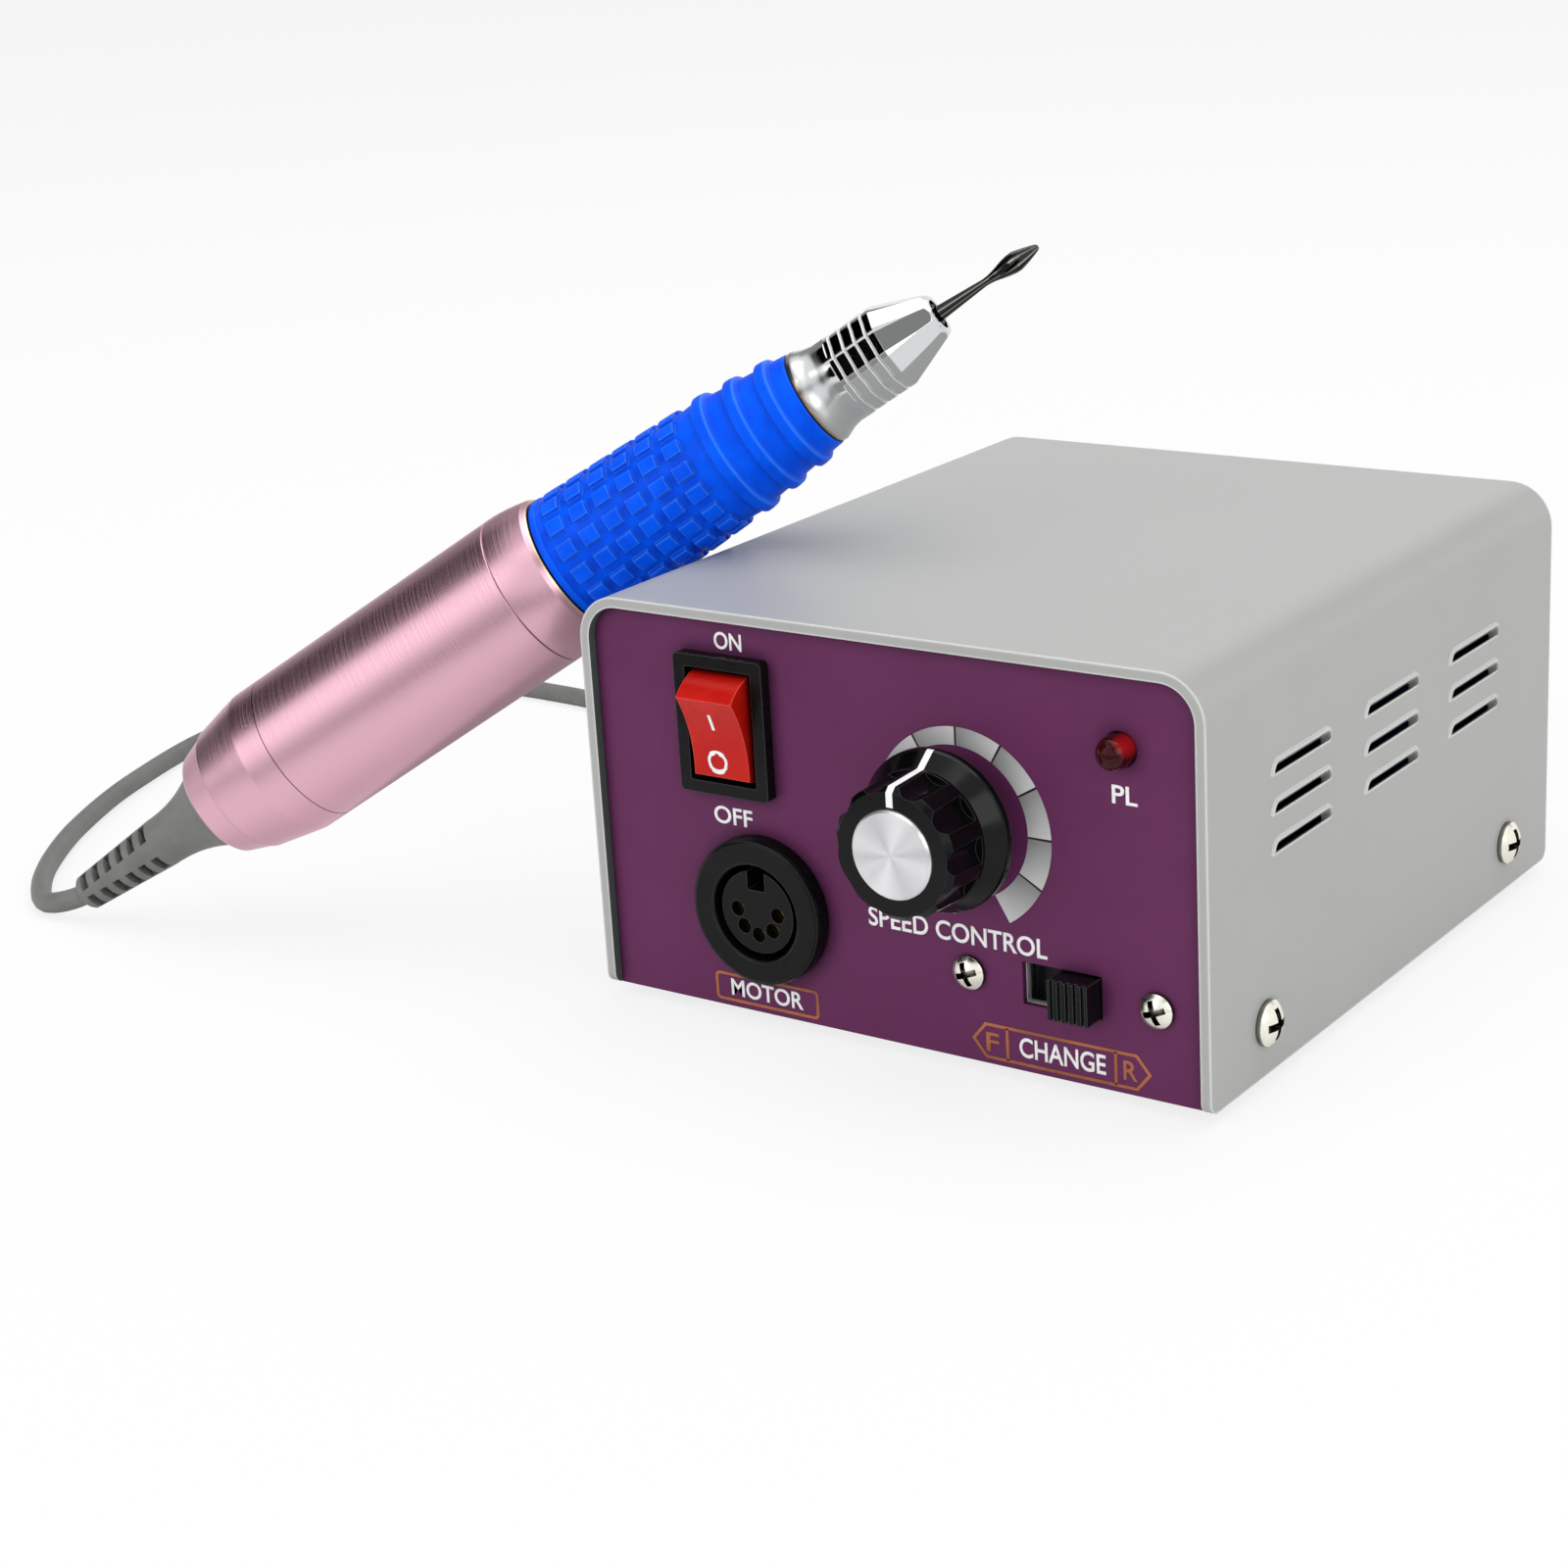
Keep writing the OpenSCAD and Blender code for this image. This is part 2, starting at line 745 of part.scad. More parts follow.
module rear_cap() {
  color("#d5a9b8") on_handpiece() rotate_extrude() polygon([[7.2, cap_rear], [cap_rear_r - 0.4, cap_rear],
    [cap_rear_r, cap_rear + 0.4], [cap_rear_r + 1.6, cap_rear + 5], [cap_rear_r + 1.85, cap_rear + 5.2],
    [body_r - 0.55, cap_rear + 11], [body_r - 0.1, cap_rear + 13.4], [body_r, cap_rear + 14],
    [body_r, cap_front], [11.65, cap_front], [11.65, cap_rear + 12], [8.4, cap_rear + 9.5],
    [8.4, cap_rear + 2.3], [7.2, cap_rear + 2.3]]);
}

module motor_housing() {
  color("#d5a9b8") on_handpiece() rotate_extrude() polygon([[11.5, cap_front - 5.5], [11.5, cap_front],
    [body_r - 0.15, cap_front], [body_r, cap_front + 0.15], [body_r, sleeve_rear - 0.15],
    [body_r - 0.15, sleeve_rear], [11, sleeve_rear], [11, sleeve_rear + 5], [6, sleeve_rear + 5],
    [6, sleeve_rear - 3], [11.75, sleeve_rear - 3], [11.75, cap_front + 4], [10.4, cap_front + 4],
    [10.4, cap_front - 5.5]]);
}

// Convex shoulder from the housing's radius down to the grip
function shoulder(t) = body_r - (body_r - sleeve_front_r) * (1 - cos(90 * t));

module front_sleeve() {
  edge = grip_rear - sleeve_rear;
  color("#d5a9b8") on_handpiece() rotate_extrude() polygon(concat(
    [[11.05, sleeve_rear], [body_r - 0.15, sleeve_rear]],
    [for (t = [0:0.125:0.95]) [shoulder(t), sleeve_rear + 0.15 + t * (edge - 0.15)]],
    [[sleeve_front_r - 0.3, grip_rear], [8, grip_rear], [8, 142], [6.9, 142.5],
     [6.9, grip_front - 0.2], [bearing_r + 0.05, grip_front - 0.2], [bearing_r + 0.05, sleeve_rear + 5.5],
     [11.05, sleeve_rear + 5.5]]));
}

// Radius of the pads' tops and of the three ring crests, falling evenly towards the front
pads_end = pads_start + pad_rows * pad_pitch;
function pad_top(s) = grip_rear_r + (pads_end_r - grip_rear_r) * (s - pads_start) / (6 * pad_pitch);
ring_start = 137;
ring_pitch = 5.6;
function crest(s) = 9.15 + (10.35 - 9.15) * (152 - s) / 11;
function wave(s) = crest(s) - 0.8 * (1 - pow((1 - cos(360 * (s - ring_start) / ring_pitch)) / 2, 4));

module pad_bands() {
  for (i = [0:pad_rows - 1])
    let (s0 = pads_start + i * pad_pitch + pad_gap / 2, s1 = s0 + pad_pitch - pad_gap)
    rotate_extrude() polygon([[grip_bore + 1, s0], [pad_top(s0) - 0.25, s0], [pad_top(s0 + 0.3), s0 + 0.3],
      [pad_top(s1 - 0.3), s1 - 0.3], [pad_top(s1) - 0.25, s1], [grip_bore + 1, s1]]);
}

module grip() {
  color("#0b5cff") on_handpiece() {
    rotate_extrude() polygon(concat([[grip_bore, grip_rear], [grip_rear_r, grip_rear],
      [grip_rear_r, grip_rear + 1.2], [pad_top(pads_start) - pad_h, pads_start],
      [pad_top(pads_end) - pad_h, pads_end]],
      [for (s = [ring_start:0.4:ring_start + 3 * ring_pitch]) [wave(s), s]],
      [[lip_r, grip_front - 0.8], [lip_r - 0.3, grip_front], [neck_bore, grip_front], [neck_bore, 142.6],
       [grip_bore, 142.1]]));
    difference() {
      pad_bands();
      for (k = [0:pads_round - 1]) rotate([0, 0, 360 * k / pads_round])
        translate([grip_bore + 0.5, -pad_gap / 2, pads_start - 1])
          cube([8, pad_gap, pad_rows * pad_pitch + 2]);
    }
  }
}

// Slender tail, then a trumpet that ends in a neck and a flange held inside the rear cap
function trumpet(t) = 4.4 + (flange_r - 4.4) * pow(t, 2.2);

module strain_relief() {
  slot_pitch = 2.9;
  slot_w = 3.5;
  color("#7c7c7a") on_handpiece() difference() {
    rotate_extrude() polygon(concat([[0, 0], [2.7, 0], [3.1, 0.5], [4.4, 17.5]],
      [for (t = [0.1:0.1:1.01]) [trumpet(t), 17.5 + t * (bell_end - 17.5)]],
      [[7, bell_end], [7, cap_rear + 2.4], [flange_r, cap_rear + 2.4], [flange_r, cap_rear + 4.4],
       [0, cap_rear + 4.4]]));
    for (a = [0:90:270], i = [0:5]) rotate([0, 0, a + 40])
      translate([1.5, -slot_w / 2, 1.4 + i * slot_pitch]) cube([5, slot_w, 1.5]);
  }
}

// Motor inside the housing

module motor_can() {
  color("#b0b2b4") on_handpiece() {
    pipe(motor_r, 10.8, 58, 92);
    pipe(motor_r, 1.6, 92 - eps, 93.2);
    pipe(3.4, 1.6, 93.2 - eps, 95.5);
  }
}

module motor_magnets() {
  color("#3c3c40") on_handpiece() for (a = [0, 180]) rotate([0, 0, a]) translate([0, 0, 63])
    rotate_extrude(angle = 140) translate([8.7, 0]) square([2, 25]);
}

module motor_end_cap() {
  color("#2b2b2d") on_handpiece() {
    pipe(motor_r - 0.1, 1.6, 55.5, 58);
    for (s = [0, 1]) mirror([s, 0, 0]) translate([4, -2.6, 58 - eps]) cube([3.4, 0.9, 3.6]);
    for (s = [0, 1]) mirror([s, 0, 0]) translate([4, 1.7, 58 - eps]) cube([3.4, 0.9, 3.6]);
  }
}

module motor_brushes() {
  color("#383838") on_handpiece() for (s = [0, 1]) mirror([s, 0, 0]) difference() {
    translate([2, -1.6, 58.6]) cube([5, 3.2, 2.8]);
    rod(3.06, 50, 70);
  }
}

module armature() {
  color("#6a6c70") on_handpiece() {
    difference() {
      rod(8.2, 65, 87);
      for (k = [0:4]) rotate([0, 0, 72 * k]) {
        translate([5.6, 0, 0]) rod(1.7, 64, 88);
        translate([5.6, -0.5, 64]) cube([5, 1, 24]);
      }
    }
    rod(1, 54, 101);
  }
}

module commutator() {
  color("#b87333") on_handpiece() difference() {
    pipe(3, 1.02, 58.5, 63.5);
    for (k = [0:4]) rotate([0, 0, 72 * k]) translate([2.4, -0.15, 58]) cube([2, 0.3, 6]);
  }
}

module drive_coupling() {
  color("#3a3a3c") on_handpiece() difference() {
    rod(4, 97.5, 108.5);
    rod(1.02, 97, 103);
    rod(spindle_r + 0.02, 103, 109);
  }
}

// Spindle, its two ball bearings and the collet

bearing_at = [110, 138];
bearing_w = 5;
race_r = 3.95;
ball_r = 0.8;

module race(r_in, r_out) {
  for (s = bearing_at) translate([0, 0, s]) rotate_extrude() difference() {
    translate([r_in, 0]) square([r_out - r_in, bearing_w]);
    translate([race_r, bearing_w / 2]) circle(ball_r + 0.03);
  }
}

module bearing_outer_rings() {
  color("#c2c4c6") on_handpiece() race(4.5, bearing_r);
}

module bearing_inner_rings() {
  color("#c2c4c6") on_handpiece() race(spindle_r + 0.02, 3.4);
}

module bearing_balls() {
  color("#e0e0e0") on_handpiece() for (s = bearing_at, k = [0:6]) rotate([0, 0, 360 * k / 7])
    translate([race_r, 0, s + bearing_w / 2]) sphere(ball_r);
}

module spindle() {
  color("#a4a6a8") on_handpiece() difference() {
    rotate_extrude() polygon([[0, 103.2], [spindle_r, 103.2], [spindle_r, 157], [3.4, 158], [3.4, 169.5],
      [2.7, 171.5], [0, 171.5]]);
    rod(collet_r + 0.05, 159, 175);
  }
}

module collet() {
  color("#b8babc") on_handpiece() difference() {
    rotate_extrude() polygon([[shank_r + 0.02, 159.5], [collet_r, 159.5], [collet_r, 174.4], [2.1, 175],
      [2.1, 176.2], [1.8, 176.8], [shank_r + 0.02, 176.8]]);
    for (a = [0, 120, 240]) rotate([0, 0, a]) translate([0.9, -0.2, 165]) cube([2, 0.4, 13]);
  }
}

module cam_sleeve() {
  color("#9a9c9e") on_handpiece() difference() {
    pipe(nose_bore - 0.1, 3.7, 160, 168);
    for (a = [0, 120, 240]) rotate([0, 0, a]) translate([3.4, -0.8, 165.5]) cube([2, 1.6, 4]);
  }
}

// Bright nose: a waist, a grooved band with flats and a cone with the same flats

module nose() {
  cone_tip_r = 3.9;
  flat_deep = 0.22;
  slope = atan2(band_r - cone_tip_r, nose_tip - 0.8 - nose_cone);
  color("#d9dbdd") on_handpiece() difference() {
    rotate_extrude() polygon([[nose_bore, 147], [bearing_r, 147], [bearing_r, nose_rear - 0.2],
      [7.6, nose_rear - 0.2], [7.9, nose_rear + 0.2], [7.9, nose_rear + 0.8], [7.2, nose_rear + 2.4],
      [6.85, nose_rear + 4], [band_r, nose_band], [band_r, nose_cone], [cone_tip_r, nose_tip - 0.8],
      [cone_tip_r - 0.7, nose_tip], [2.5, nose_tip], [2.5, 174], [3.8, 171.8], [nose_bore, 169.2]]);
    for (i = [0:3]) translate([0, 0, nose_band + 1.65 + i * 2])
      rotate_extrude() polygon([[band_r + 0.4, -0.38], [band_r - 0.65, 0], [band_r + 0.4, 0.38]]);
    for (k = [0:nose_flats - 1]) rotate([0, 0, 360 * k / nose_flats])
      translate([band_r - flat_deep, 0, nose_cone]) {
        translate([0, -4, nose_band + 0.6 - nose_cone]) cube([4, 8, nose_cone - nose_band - 0.6]);
        rotate([0, -slope, 0]) translate([0, -4, -2]) cube([4, 8, 14]);
      }
  }
}

// Flame-shaped cutter: swells slowly out of a slim neck, is widest past its middle and has a blunt tip
function flame(t) = t < 0.58 ? 0.6 + 0.5 * (1 - cos(180 * t / 0.58))
  : 1.6 - 1.16 * pow((t - 0.58) / 0.42, 1.25);

module burr() {
  head = burr_tip - head_rear;
  color("#4a4a4c") on_handpiece() difference() {
    rotate_extrude() polygon(concat([[0, burr_rear], [shank_r - 0.2, burr_rear], [shank_r, burr_rear + 0.3],
      [shank_r, nose_tip + 0.5]], [for (t = [0:0.1:0.91]) [flame(t), head_rear + t * head]],
      [[0.5, burr_tip - 0.25], [0.22, burr_tip], [0, burr_tip]]));
    for (k = [0:7]) rotate([0, 0, 45 * k]) translate([0.95, 0, head_rear]) rotate([10, 0, 0])
      translate([0, -0.17, -0.5]) cube([1.2, 0.34, head * 0.85]);
  }
}

// Cord, coil and plug

// A smooth curve through the route's points, from the tail along the handpiece's axis to the coil
route_all = concat([tail + 12 * axis, tail], route, [coil_start, coil_start + [20, 0, 0]]);
function curve(a, b, c, d, t) = 0.5 * (2 * b + (c - a) * t + (2 * a - 5 * b + 4 * c - d) * t * t
  + (3 * b - a - 3 * c + d) * t * t * t);
cord_path = concat([for (i = [1:len(route_all) - 3], k = [0:steps - 1])
  curve(route_all[i - 1], route_all[i], route_all[i + 1], route_all[i + 2], k / steps)], [coil_start]);

module cord() {
  color("#7c7c7a") tube(cord_path, cord_r, 8, -axis, [1, 0, 0]);
}

// Place on the coil after u turns: in along the lower layer, up in half a turn, out along the upper one
coil_all = 2 * coil_turns + climb;
function coil_radius(u) = coil_in + coil_pitch * max(coil_turns - u, u - coil_turns - climb, 0);
function coil_height(u) = coil_z + coil_layer * min(max((u - coil_turns) / climb, 0), 1);
function coil_point(u) = [coil_at[0] + coil_radius(u) * sin(360 * u),
  coil_at[1] - coil_radius(u) * cos(360 * u), coil_height(u)];
coil_rings = coil_all * loop_rings;
coil_path = concat([coil_start], [for (i = [0:coil_rings]) coil_point(i / loop_rings)], [plug_at]);

// Least gap between stretches of the coil that lie more than a third of a turn apart
coil_gap = min([for (i = [0:coil_rings], j = [i + loop_rings / 3:coil_rings])
  norm(coil_point(i / loop_rings) - coil_point(j / loop_rings))]) - cord_d;
echo(coil_gap = coil_gap);

module cord_coil() {
  color("#7c7c7a") tube(coil_path, cord_r, 6, [1, 0, 0], [-1, 0, 0]);
}

module cord_tie() {
  tie_in = [coil_out - coil_in + 2 * cord_r + 1, coil_layer + 2 * cord_r + 1];
  tie_t = 0.8;
  color("#1f2020") translate([coil_at[0] - (coil_in + coil_out) / 2, coil_at[1], coil_z + coil_layer / 2])
    rotate([90, 0, 0]) linear_extrude(5, center = true) difference() {
      round_rect(tie_in[0] + 2 * tie_t, tie_in[1] + 2 * tie_t, 1.6);
      round_rect(tie_in[0], tie_in[1], 0.8);
    }
}

module plug_body() {
  color("#232525") on_plug() difference() {
    rotate_extrude() polygon([[0, 0], [2.6, 0], [3.4, relief_len], [5.6, relief_len + 2],
      [plug_r, relief_len + 5], [plug_r, handle_end - 1], [plug_r - 0.8, handle_end], [0, handle_end]]);
    pipe(shell_r + 0.02, shell_r - 0.62, handle_end - 4, handle_end + 1);
    for (i = [0:3]) pipe(10, plug_r - 0.6, 18 + i * 3.4, 19.4 + i * 3.4);
    pin_places() rod(pin_r + 0.01, handle_end - 5, handle_end + 1);
  }
}

module plug_shell() {
  color("#c6c8ca") on_plug() difference() {
    pipe(shell_r, shell_r - 0.6, handle_end - 4, shell_end);
    translate([0, shell_r, 0]) block([2.4, 3, 8], shell_end - 3);
  }
}

module plug_pins() {
  color("#d0b060") on_plug() pin_places() {
    rod(pin_r, handle_end - 5, shell_end - 2);
    translate([0, 0, shell_end - 2]) sphere(pin_r);
  }
}

top_cover();
chassis();
front_panel();
cover_screws();
rubber_feet();
rocker_housing();
rocker_terminals();
rocker();
din_housing();
din_insert();
din_contacts();
lamp_lens();
lamp_holder();
pot_body();
pot_nut();
pot_shaft();
speed_knob();
knob_cap();
knob_pointer();
slide_switch_frame();
slide_switch_base();
slide_lever();
switch_screws();
transformer_core();
transformer_winding();
transformer_strap();
transformer_screws();
circuit_board();
board_standoffs();
capacitor();
heat_sink();
power_transistor();
cable_gland();
gland_nut();
rear_cap();
motor_housing();
front_sleeve();
grip();
strain_relief();
motor_can();
motor_magnets();
motor_end_cap();
motor_brushes();
armature();
commutator();
drive_coupling();
bearing_outer_rings();
bearing_inner_rings();
bearing_balls();
spindle();
collet();
cam_sleeve();
nose();
burr();
cord();
cord_coil();
cord_tie();
plug_body();
plug_shell();
plug_pins();
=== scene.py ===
# %% [markdown]
# # A nail drill machine on a white table
# The machine is a folded steel box with its controls on a purple front, and a handpiece on a thin cord
# that leans on the box. Its solids arrive ready made, each in its place. This lesson gives them their
# finishes, prints the front, remakes the soft pieces, and sets up the studio.

# %% Load the solids
import json
import math

import bpy
from mathutils import Euler, Matrix, Vector


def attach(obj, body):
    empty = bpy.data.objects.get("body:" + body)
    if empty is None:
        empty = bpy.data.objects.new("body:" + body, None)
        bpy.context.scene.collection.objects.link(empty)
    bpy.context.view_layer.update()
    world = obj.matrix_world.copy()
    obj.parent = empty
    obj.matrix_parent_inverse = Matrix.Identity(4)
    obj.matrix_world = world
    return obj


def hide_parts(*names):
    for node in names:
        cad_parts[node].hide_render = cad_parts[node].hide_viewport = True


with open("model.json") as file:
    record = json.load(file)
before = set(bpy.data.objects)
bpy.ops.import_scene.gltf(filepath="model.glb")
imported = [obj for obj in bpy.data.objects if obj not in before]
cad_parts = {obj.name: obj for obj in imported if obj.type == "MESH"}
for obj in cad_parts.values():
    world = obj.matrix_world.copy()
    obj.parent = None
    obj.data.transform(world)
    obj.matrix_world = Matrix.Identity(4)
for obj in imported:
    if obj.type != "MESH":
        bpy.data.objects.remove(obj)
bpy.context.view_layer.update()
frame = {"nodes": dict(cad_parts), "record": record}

MM = 0.001
CAD = frame["nodes"]

# %% [markdown]
# ## Camera
# The picture was taken from the right and a little above, close enough for the front to look larger than
# the back. A camera can be turned by angles, but a matrix says it in one step: its columns are where the
# picture's right, its up and the way back to the lens point.

# %% Camera
AZIMUTH, ELEVATION, ROLL = 36.639, 18.506, math.radians(-3.521)
CAMERA_AT = Vector((291.774, -401.282, 184.932)) * MM
LENS_MM, SENSOR_MM = 71.78, 36


def heading(azimuth, elevation):
    """The direction at these angles in degrees, seen from the object: azimuth 0 is the front, 90 the right."""
    a, e = math.radians(azimuth), math.radians(elevation)
    return Vector((math.sin(a) * math.cos(e), -math.cos(a) * math.cos(e), math.sin(e)))


to_lens = heading(AZIMUTH, ELEVATION)
level = heading(AZIMUTH + 90, 0)
above = to_lens.cross(level)
picture_right = math.cos(ROLL) * level + math.sin(ROLL) * above
picture_up = math.cos(ROLL) * above - math.sin(ROLL) * level
picture_axes = Matrix((picture_right, picture_up, to_lens)).transposed()

bpy.ops.object.camera_add()
camera = bpy.context.object
camera.matrix_world = Matrix.Translation(CAMERA_AT) @ picture_axes.to_4x4()
camera.data.lens = LENS_MM
camera.data.sensor_width = SENSOR_MM
bpy.context.scene.camera = camera
print("camera", [round(x / MM) for x in CAMERA_AT], "lens", LENS_MM)

# %% [markdown]
# ## Cord
# The cord is a limp round lead. It leaves the strain relief along the handpiece, lies on the table in one
# wide loop and ends behind the box, where the spare length is coiled, with its plug on top. It has to leave the
# handpiece in line, so the handpiece's own axes come first: how far it leans, which way, and where its tail is.

# %% The handpiece's own axes
LEAN, YAW = 32.4, 25
TAIL = Vector((-104.10049, -69.75994, 4.88986)) * MM
HANDPIECE_TURN = Euler((0, math.radians(90 - LEAN), math.radians(YAW)))
HANDPIECE = Matrix.Translation(TAIL) @ HANDPIECE_TURN.to_matrix().to_4x4()
ALONG = HANDPIECE.to_3x3() @ Vector((0, 0, 1))

# %% [markdown]
# The free part of the route is a few measured points with a smooth curve through them. The coil is a rule: a
# spiral inwards on the table, half a turn up, and a spiral outwards on top.

# %% Route of the cord
CORD_D = 3.6 * MM
ROUTE = [(-113, -71, 2.1), (-121, -65.5, 1.9), (-130, -55, 1.9), (-140, -39, 1.9), (-150, -16, 1.9), (-157, 14, 1.9),
         (-152, 44, 1.9), (-134, 62, 1.9), (-108, 64.5, 1.9), (-72, 60, 1.9), (-36, 64, 2), (-6, 69, 2.6)]
COIL_AT, COIL_OUT, COIL_PITCH, COIL_TURNS = (45, 96), 26.5, 4.7, 2.5
COIL_Z, COIL_LAYER, CLIMB = 3.1, 4.5, 0.5
COIL_START = Vector((41.4, 69.5, 3.1)) * MM
LEAD_IN, LEAD_OUT = 12 * MM * ALONG, Vector((20, 0, 0)) * MM
PLUG_AT = Vector((41.4, 122.5, 8.8)) * MM
STEPS, LOOP_STEPS = 10, 48


def between(a, b, c, d, t):
    """A point on the smooth curve from b to c, with a and d as the neighbours."""
    return 0.5 * (2 * b + (c - a) * t + (2 * a - 5 * b + 4 * c - d) * t * t + (3 * b - a - 3 * c + d) * t ** 3)


def on_coil(turns):
    """A point on the coil: inwards on the lower layer, up in half a turn, outwards on the upper one."""
    inner = COIL_OUT - COIL_PITCH * COIL_TURNS
    radius = inner + COIL_PITCH * max(COIL_TURNS - turns, turns - COIL_TURNS - CLIMB, 0)
    height = COIL_Z + COIL_LAYER * min(max((turns - COIL_TURNS) / CLIMB, 0), 1)
    angle = 2 * math.pi * turns
    return Vector((COIL_AT[0] + radius * math.sin(angle), COIL_AT[1] - radius * math.cos(angle), height)) * MM


# The curve needs a neighbour beyond each end: one inside the strain relief, one along the coil
knots = [TAIL + LEAD_IN, TAIL, *(Vector(p) * MM for p in ROUTE), COIL_START, COIL_START + LEAD_OUT]
cord_line = [between(*knots[i - 1:i + 3], k / STEPS) for i in range(1, len(knots) - 2) for k in range(STEPS)]
cord_line.append(COIL_START)
loops = 2 * COIL_TURNS + CLIMB
cord_line += [on_coil(i / LOOP_STEPS) for i in range(int(loops * LOOP_STEPS) + 1)]
cord_line.append(PLUG_AT)

# %% [markdown]
# A curve with a round section is the natural tool for a cord: its points are the route, and its bevel is the
# sheath. At the end it is turned into a mesh, like every other piece.

# %% The cord itself
sheath = bpy.data.curves.new("handpiece_cord", "CURVE")
sheath.dimensions = "3D"
sheath.bevel_depth = CORD_D / 2
sheath.bevel_resolution = 5
sheath.use_fill_caps = True
spline = sheath.splines.new("POLY")
spline.points.add(len(cord_line) - 1)
for point, place in zip(spline.points, cord_line):
    point.co = (*place, 1)
spline.use_smooth = True
cord = bpy.data.objects.new("handpiece_cord", sheath)
bpy.context.scene.collection.objects.link(cord)
bpy.ops.object.select_all(action="DESELECT")
cord.select_set(True)
bpy.context.view_layer.objects.active = cord
bpy.ops.object.convert(target="MESH")
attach(cord, "handpiece")
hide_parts("cord", "cord_coil")

# %% [markdown]
# ## Finishes
# Every finish starts from what the real surface is. One function turns a paint chart's hex value into the
# linear colour that the renderer wants, and one adds a node with its settings and links. Pattern sizes are
# given in millimetres, and a texture's scale is the number of them in a metre.

# %% Helpers for finishes


def colour(code):
    """Linear RGBA of an sRGB hex value."""
    parts = [int(code[i:i + 2], 16) / 255 for i in (1, 3, 5)]
    return (*(p / 12.92 if p <= 0.04045 else ((p + 0.055) / 1.055) ** 2.4 for p in parts), 1)


def per_metre(size_mm):
    return 1 / (size_mm * MM)


def add(tree, kind, values=None, links=None, **settings):
    """One node: its settings, its socket values, and the sockets that feed it."""
    node = tree.nodes.new("ShaderNode" + kind)
    for key, value in settings.items():
        setattr(node, key, value)
    for key, value in (values or {}).items():
        node.inputs[key].default_value = value
    for key, source in (links or {}).items():
        tree.links.new(source, node.inputs[key])
    return node


def finish(name, shader):
    """A new material whose main shader has these values; returns the material, its tree, the shader and its place."""
    made = bpy.data.materials.new(name)
    made.use_nodes = True
    tree = made.node_tree
    main = tree.nodes["Principled BSDF"]
    for key, value in shader.items():
        main.inputs[key].default_value = value
    place = add(tree, "TexCoord").outputs["Object"]
    return made, tree, main, place


# %% [markdown]
# Most surfaces share one recipe. A cloud of noise makes colour and gloss uneven, and a finer one gives the grain.
# Edges are softened and may get a painted highlight, a paler colour, and shut-in places may get painted shade, a
# darker colour.

# %% The common recipe


def painted_shade(tree, tint, reach_mm, power):
    """Slots and corners see little light: darken a colour by how shut in the surface is."""
    seen = add(tree, "AmbientOcclusion", {"Distance": reach_mm * MM}, samples=8)
    share = add(tree, "Math", {1: power}, {0: seen.outputs["AO"]}, operation="POWER")
    black = (0.002, 0.002, 0.002, 1)
    return add(tree, "Mix", {6: black}, {0: share.outputs["Value"], 7: tint}, data_type="RGBA").outputs[2]


def set_gloss(tree, main, pattern, rough):
    """Let a pattern vary the roughness between two values."""
    spread = {"From Min": 0.3, "From Max": 0.7, "To Min": rough[0], "To Max": rough[1]}
    gloss = add(tree, "MapRange", spread, {"Value": pattern})
    tree.links.new(gloss.outputs["Result"], main.inputs["Roughness"])


def mottle(tree, main, place, dark, light, size_mm, rough, grain_mm, grain_um,
           edge_mm=0.2, edge=None, shut_mm=0, shut=1.0):
    """Uneven colour and gloss, a fine grain, softened edges that may get a painted highlight, and recesses that may
    get painted shade.
    """
    cloud = add(tree, "TexNoise", {"Scale": per_metre(size_mm), "Detail": 3, "Roughness": 0.6}, {"Vector": place})
    set_gloss(tree, main, cloud.outputs["Fac"], rough)
    ramp = add(tree, "MapRange", {"From Min": 0.35, "From Max": 0.65}, {"Value": cloud.outputs["Fac"]})
    both = add(tree, "Mix", {6: colour(dark), 7: colour(light)}, {0: ramp.outputs["Result"]}, data_type="RGBA")
    tint = both.outputs[2]
    grain = add(tree, "TexNoise", {"Scale": per_metre(grain_mm), "Detail": 2}, {"Vector": place})
    soft = add(tree, "Bevel", {"Radius": edge_mm * MM}, samples=6)
    bump = add(tree, "Bump", {"Strength": 1, "Distance": grain_um * 1e-6},
               {"Height": grain.outputs["Fac"], "Normal": soft.outputs["Normal"]})
    # Painted highlight: where the softened normal turns from the surface's own, the edge is painted paler.
    if edge:
        normals = {0: soft.outputs["Normal"], 1: add(tree, "NewGeometry").outputs["Normal"]}
        facing = add(tree, "VectorMath", links=normals, operation="DOT_PRODUCT")
        painted_edge_highlight = add(tree, "MapRange", {"From Min": 0.985, "From Max": 0.9}, {"Value": facing.outputs["Value"]})
        tint = add(tree, "Mix", {7: colour(edge)}, {0: painted_edge_highlight.outputs["Result"], 6: tint}, data_type="RGBA").outputs[2]
    if shut_mm:
        tint = painted_shade(tree, tint, shut_mm, shut)
    tree.links.new(tint, main.inputs["Base Color"])
    tree.links.new(bump.outputs["Normal"], main.inputs["Normal"])


# %% [markdown]
# Some surfaces carry a second colour in places, and some carry lines at an even pitch along an axis.

# %% Second colours and lines


def paint_over(tree, main, mask, code):
    """Lay another colour over a finish, as far as the mask says."""
    under = main.inputs["Base Color"].links[0].from_socket
    both = add(tree, "Mix", {7: colour(code)}, {0: mask, 6: under}, data_type="RGBA")
    tree.links.new(both.outputs[2], main.inputs["Base Color"])


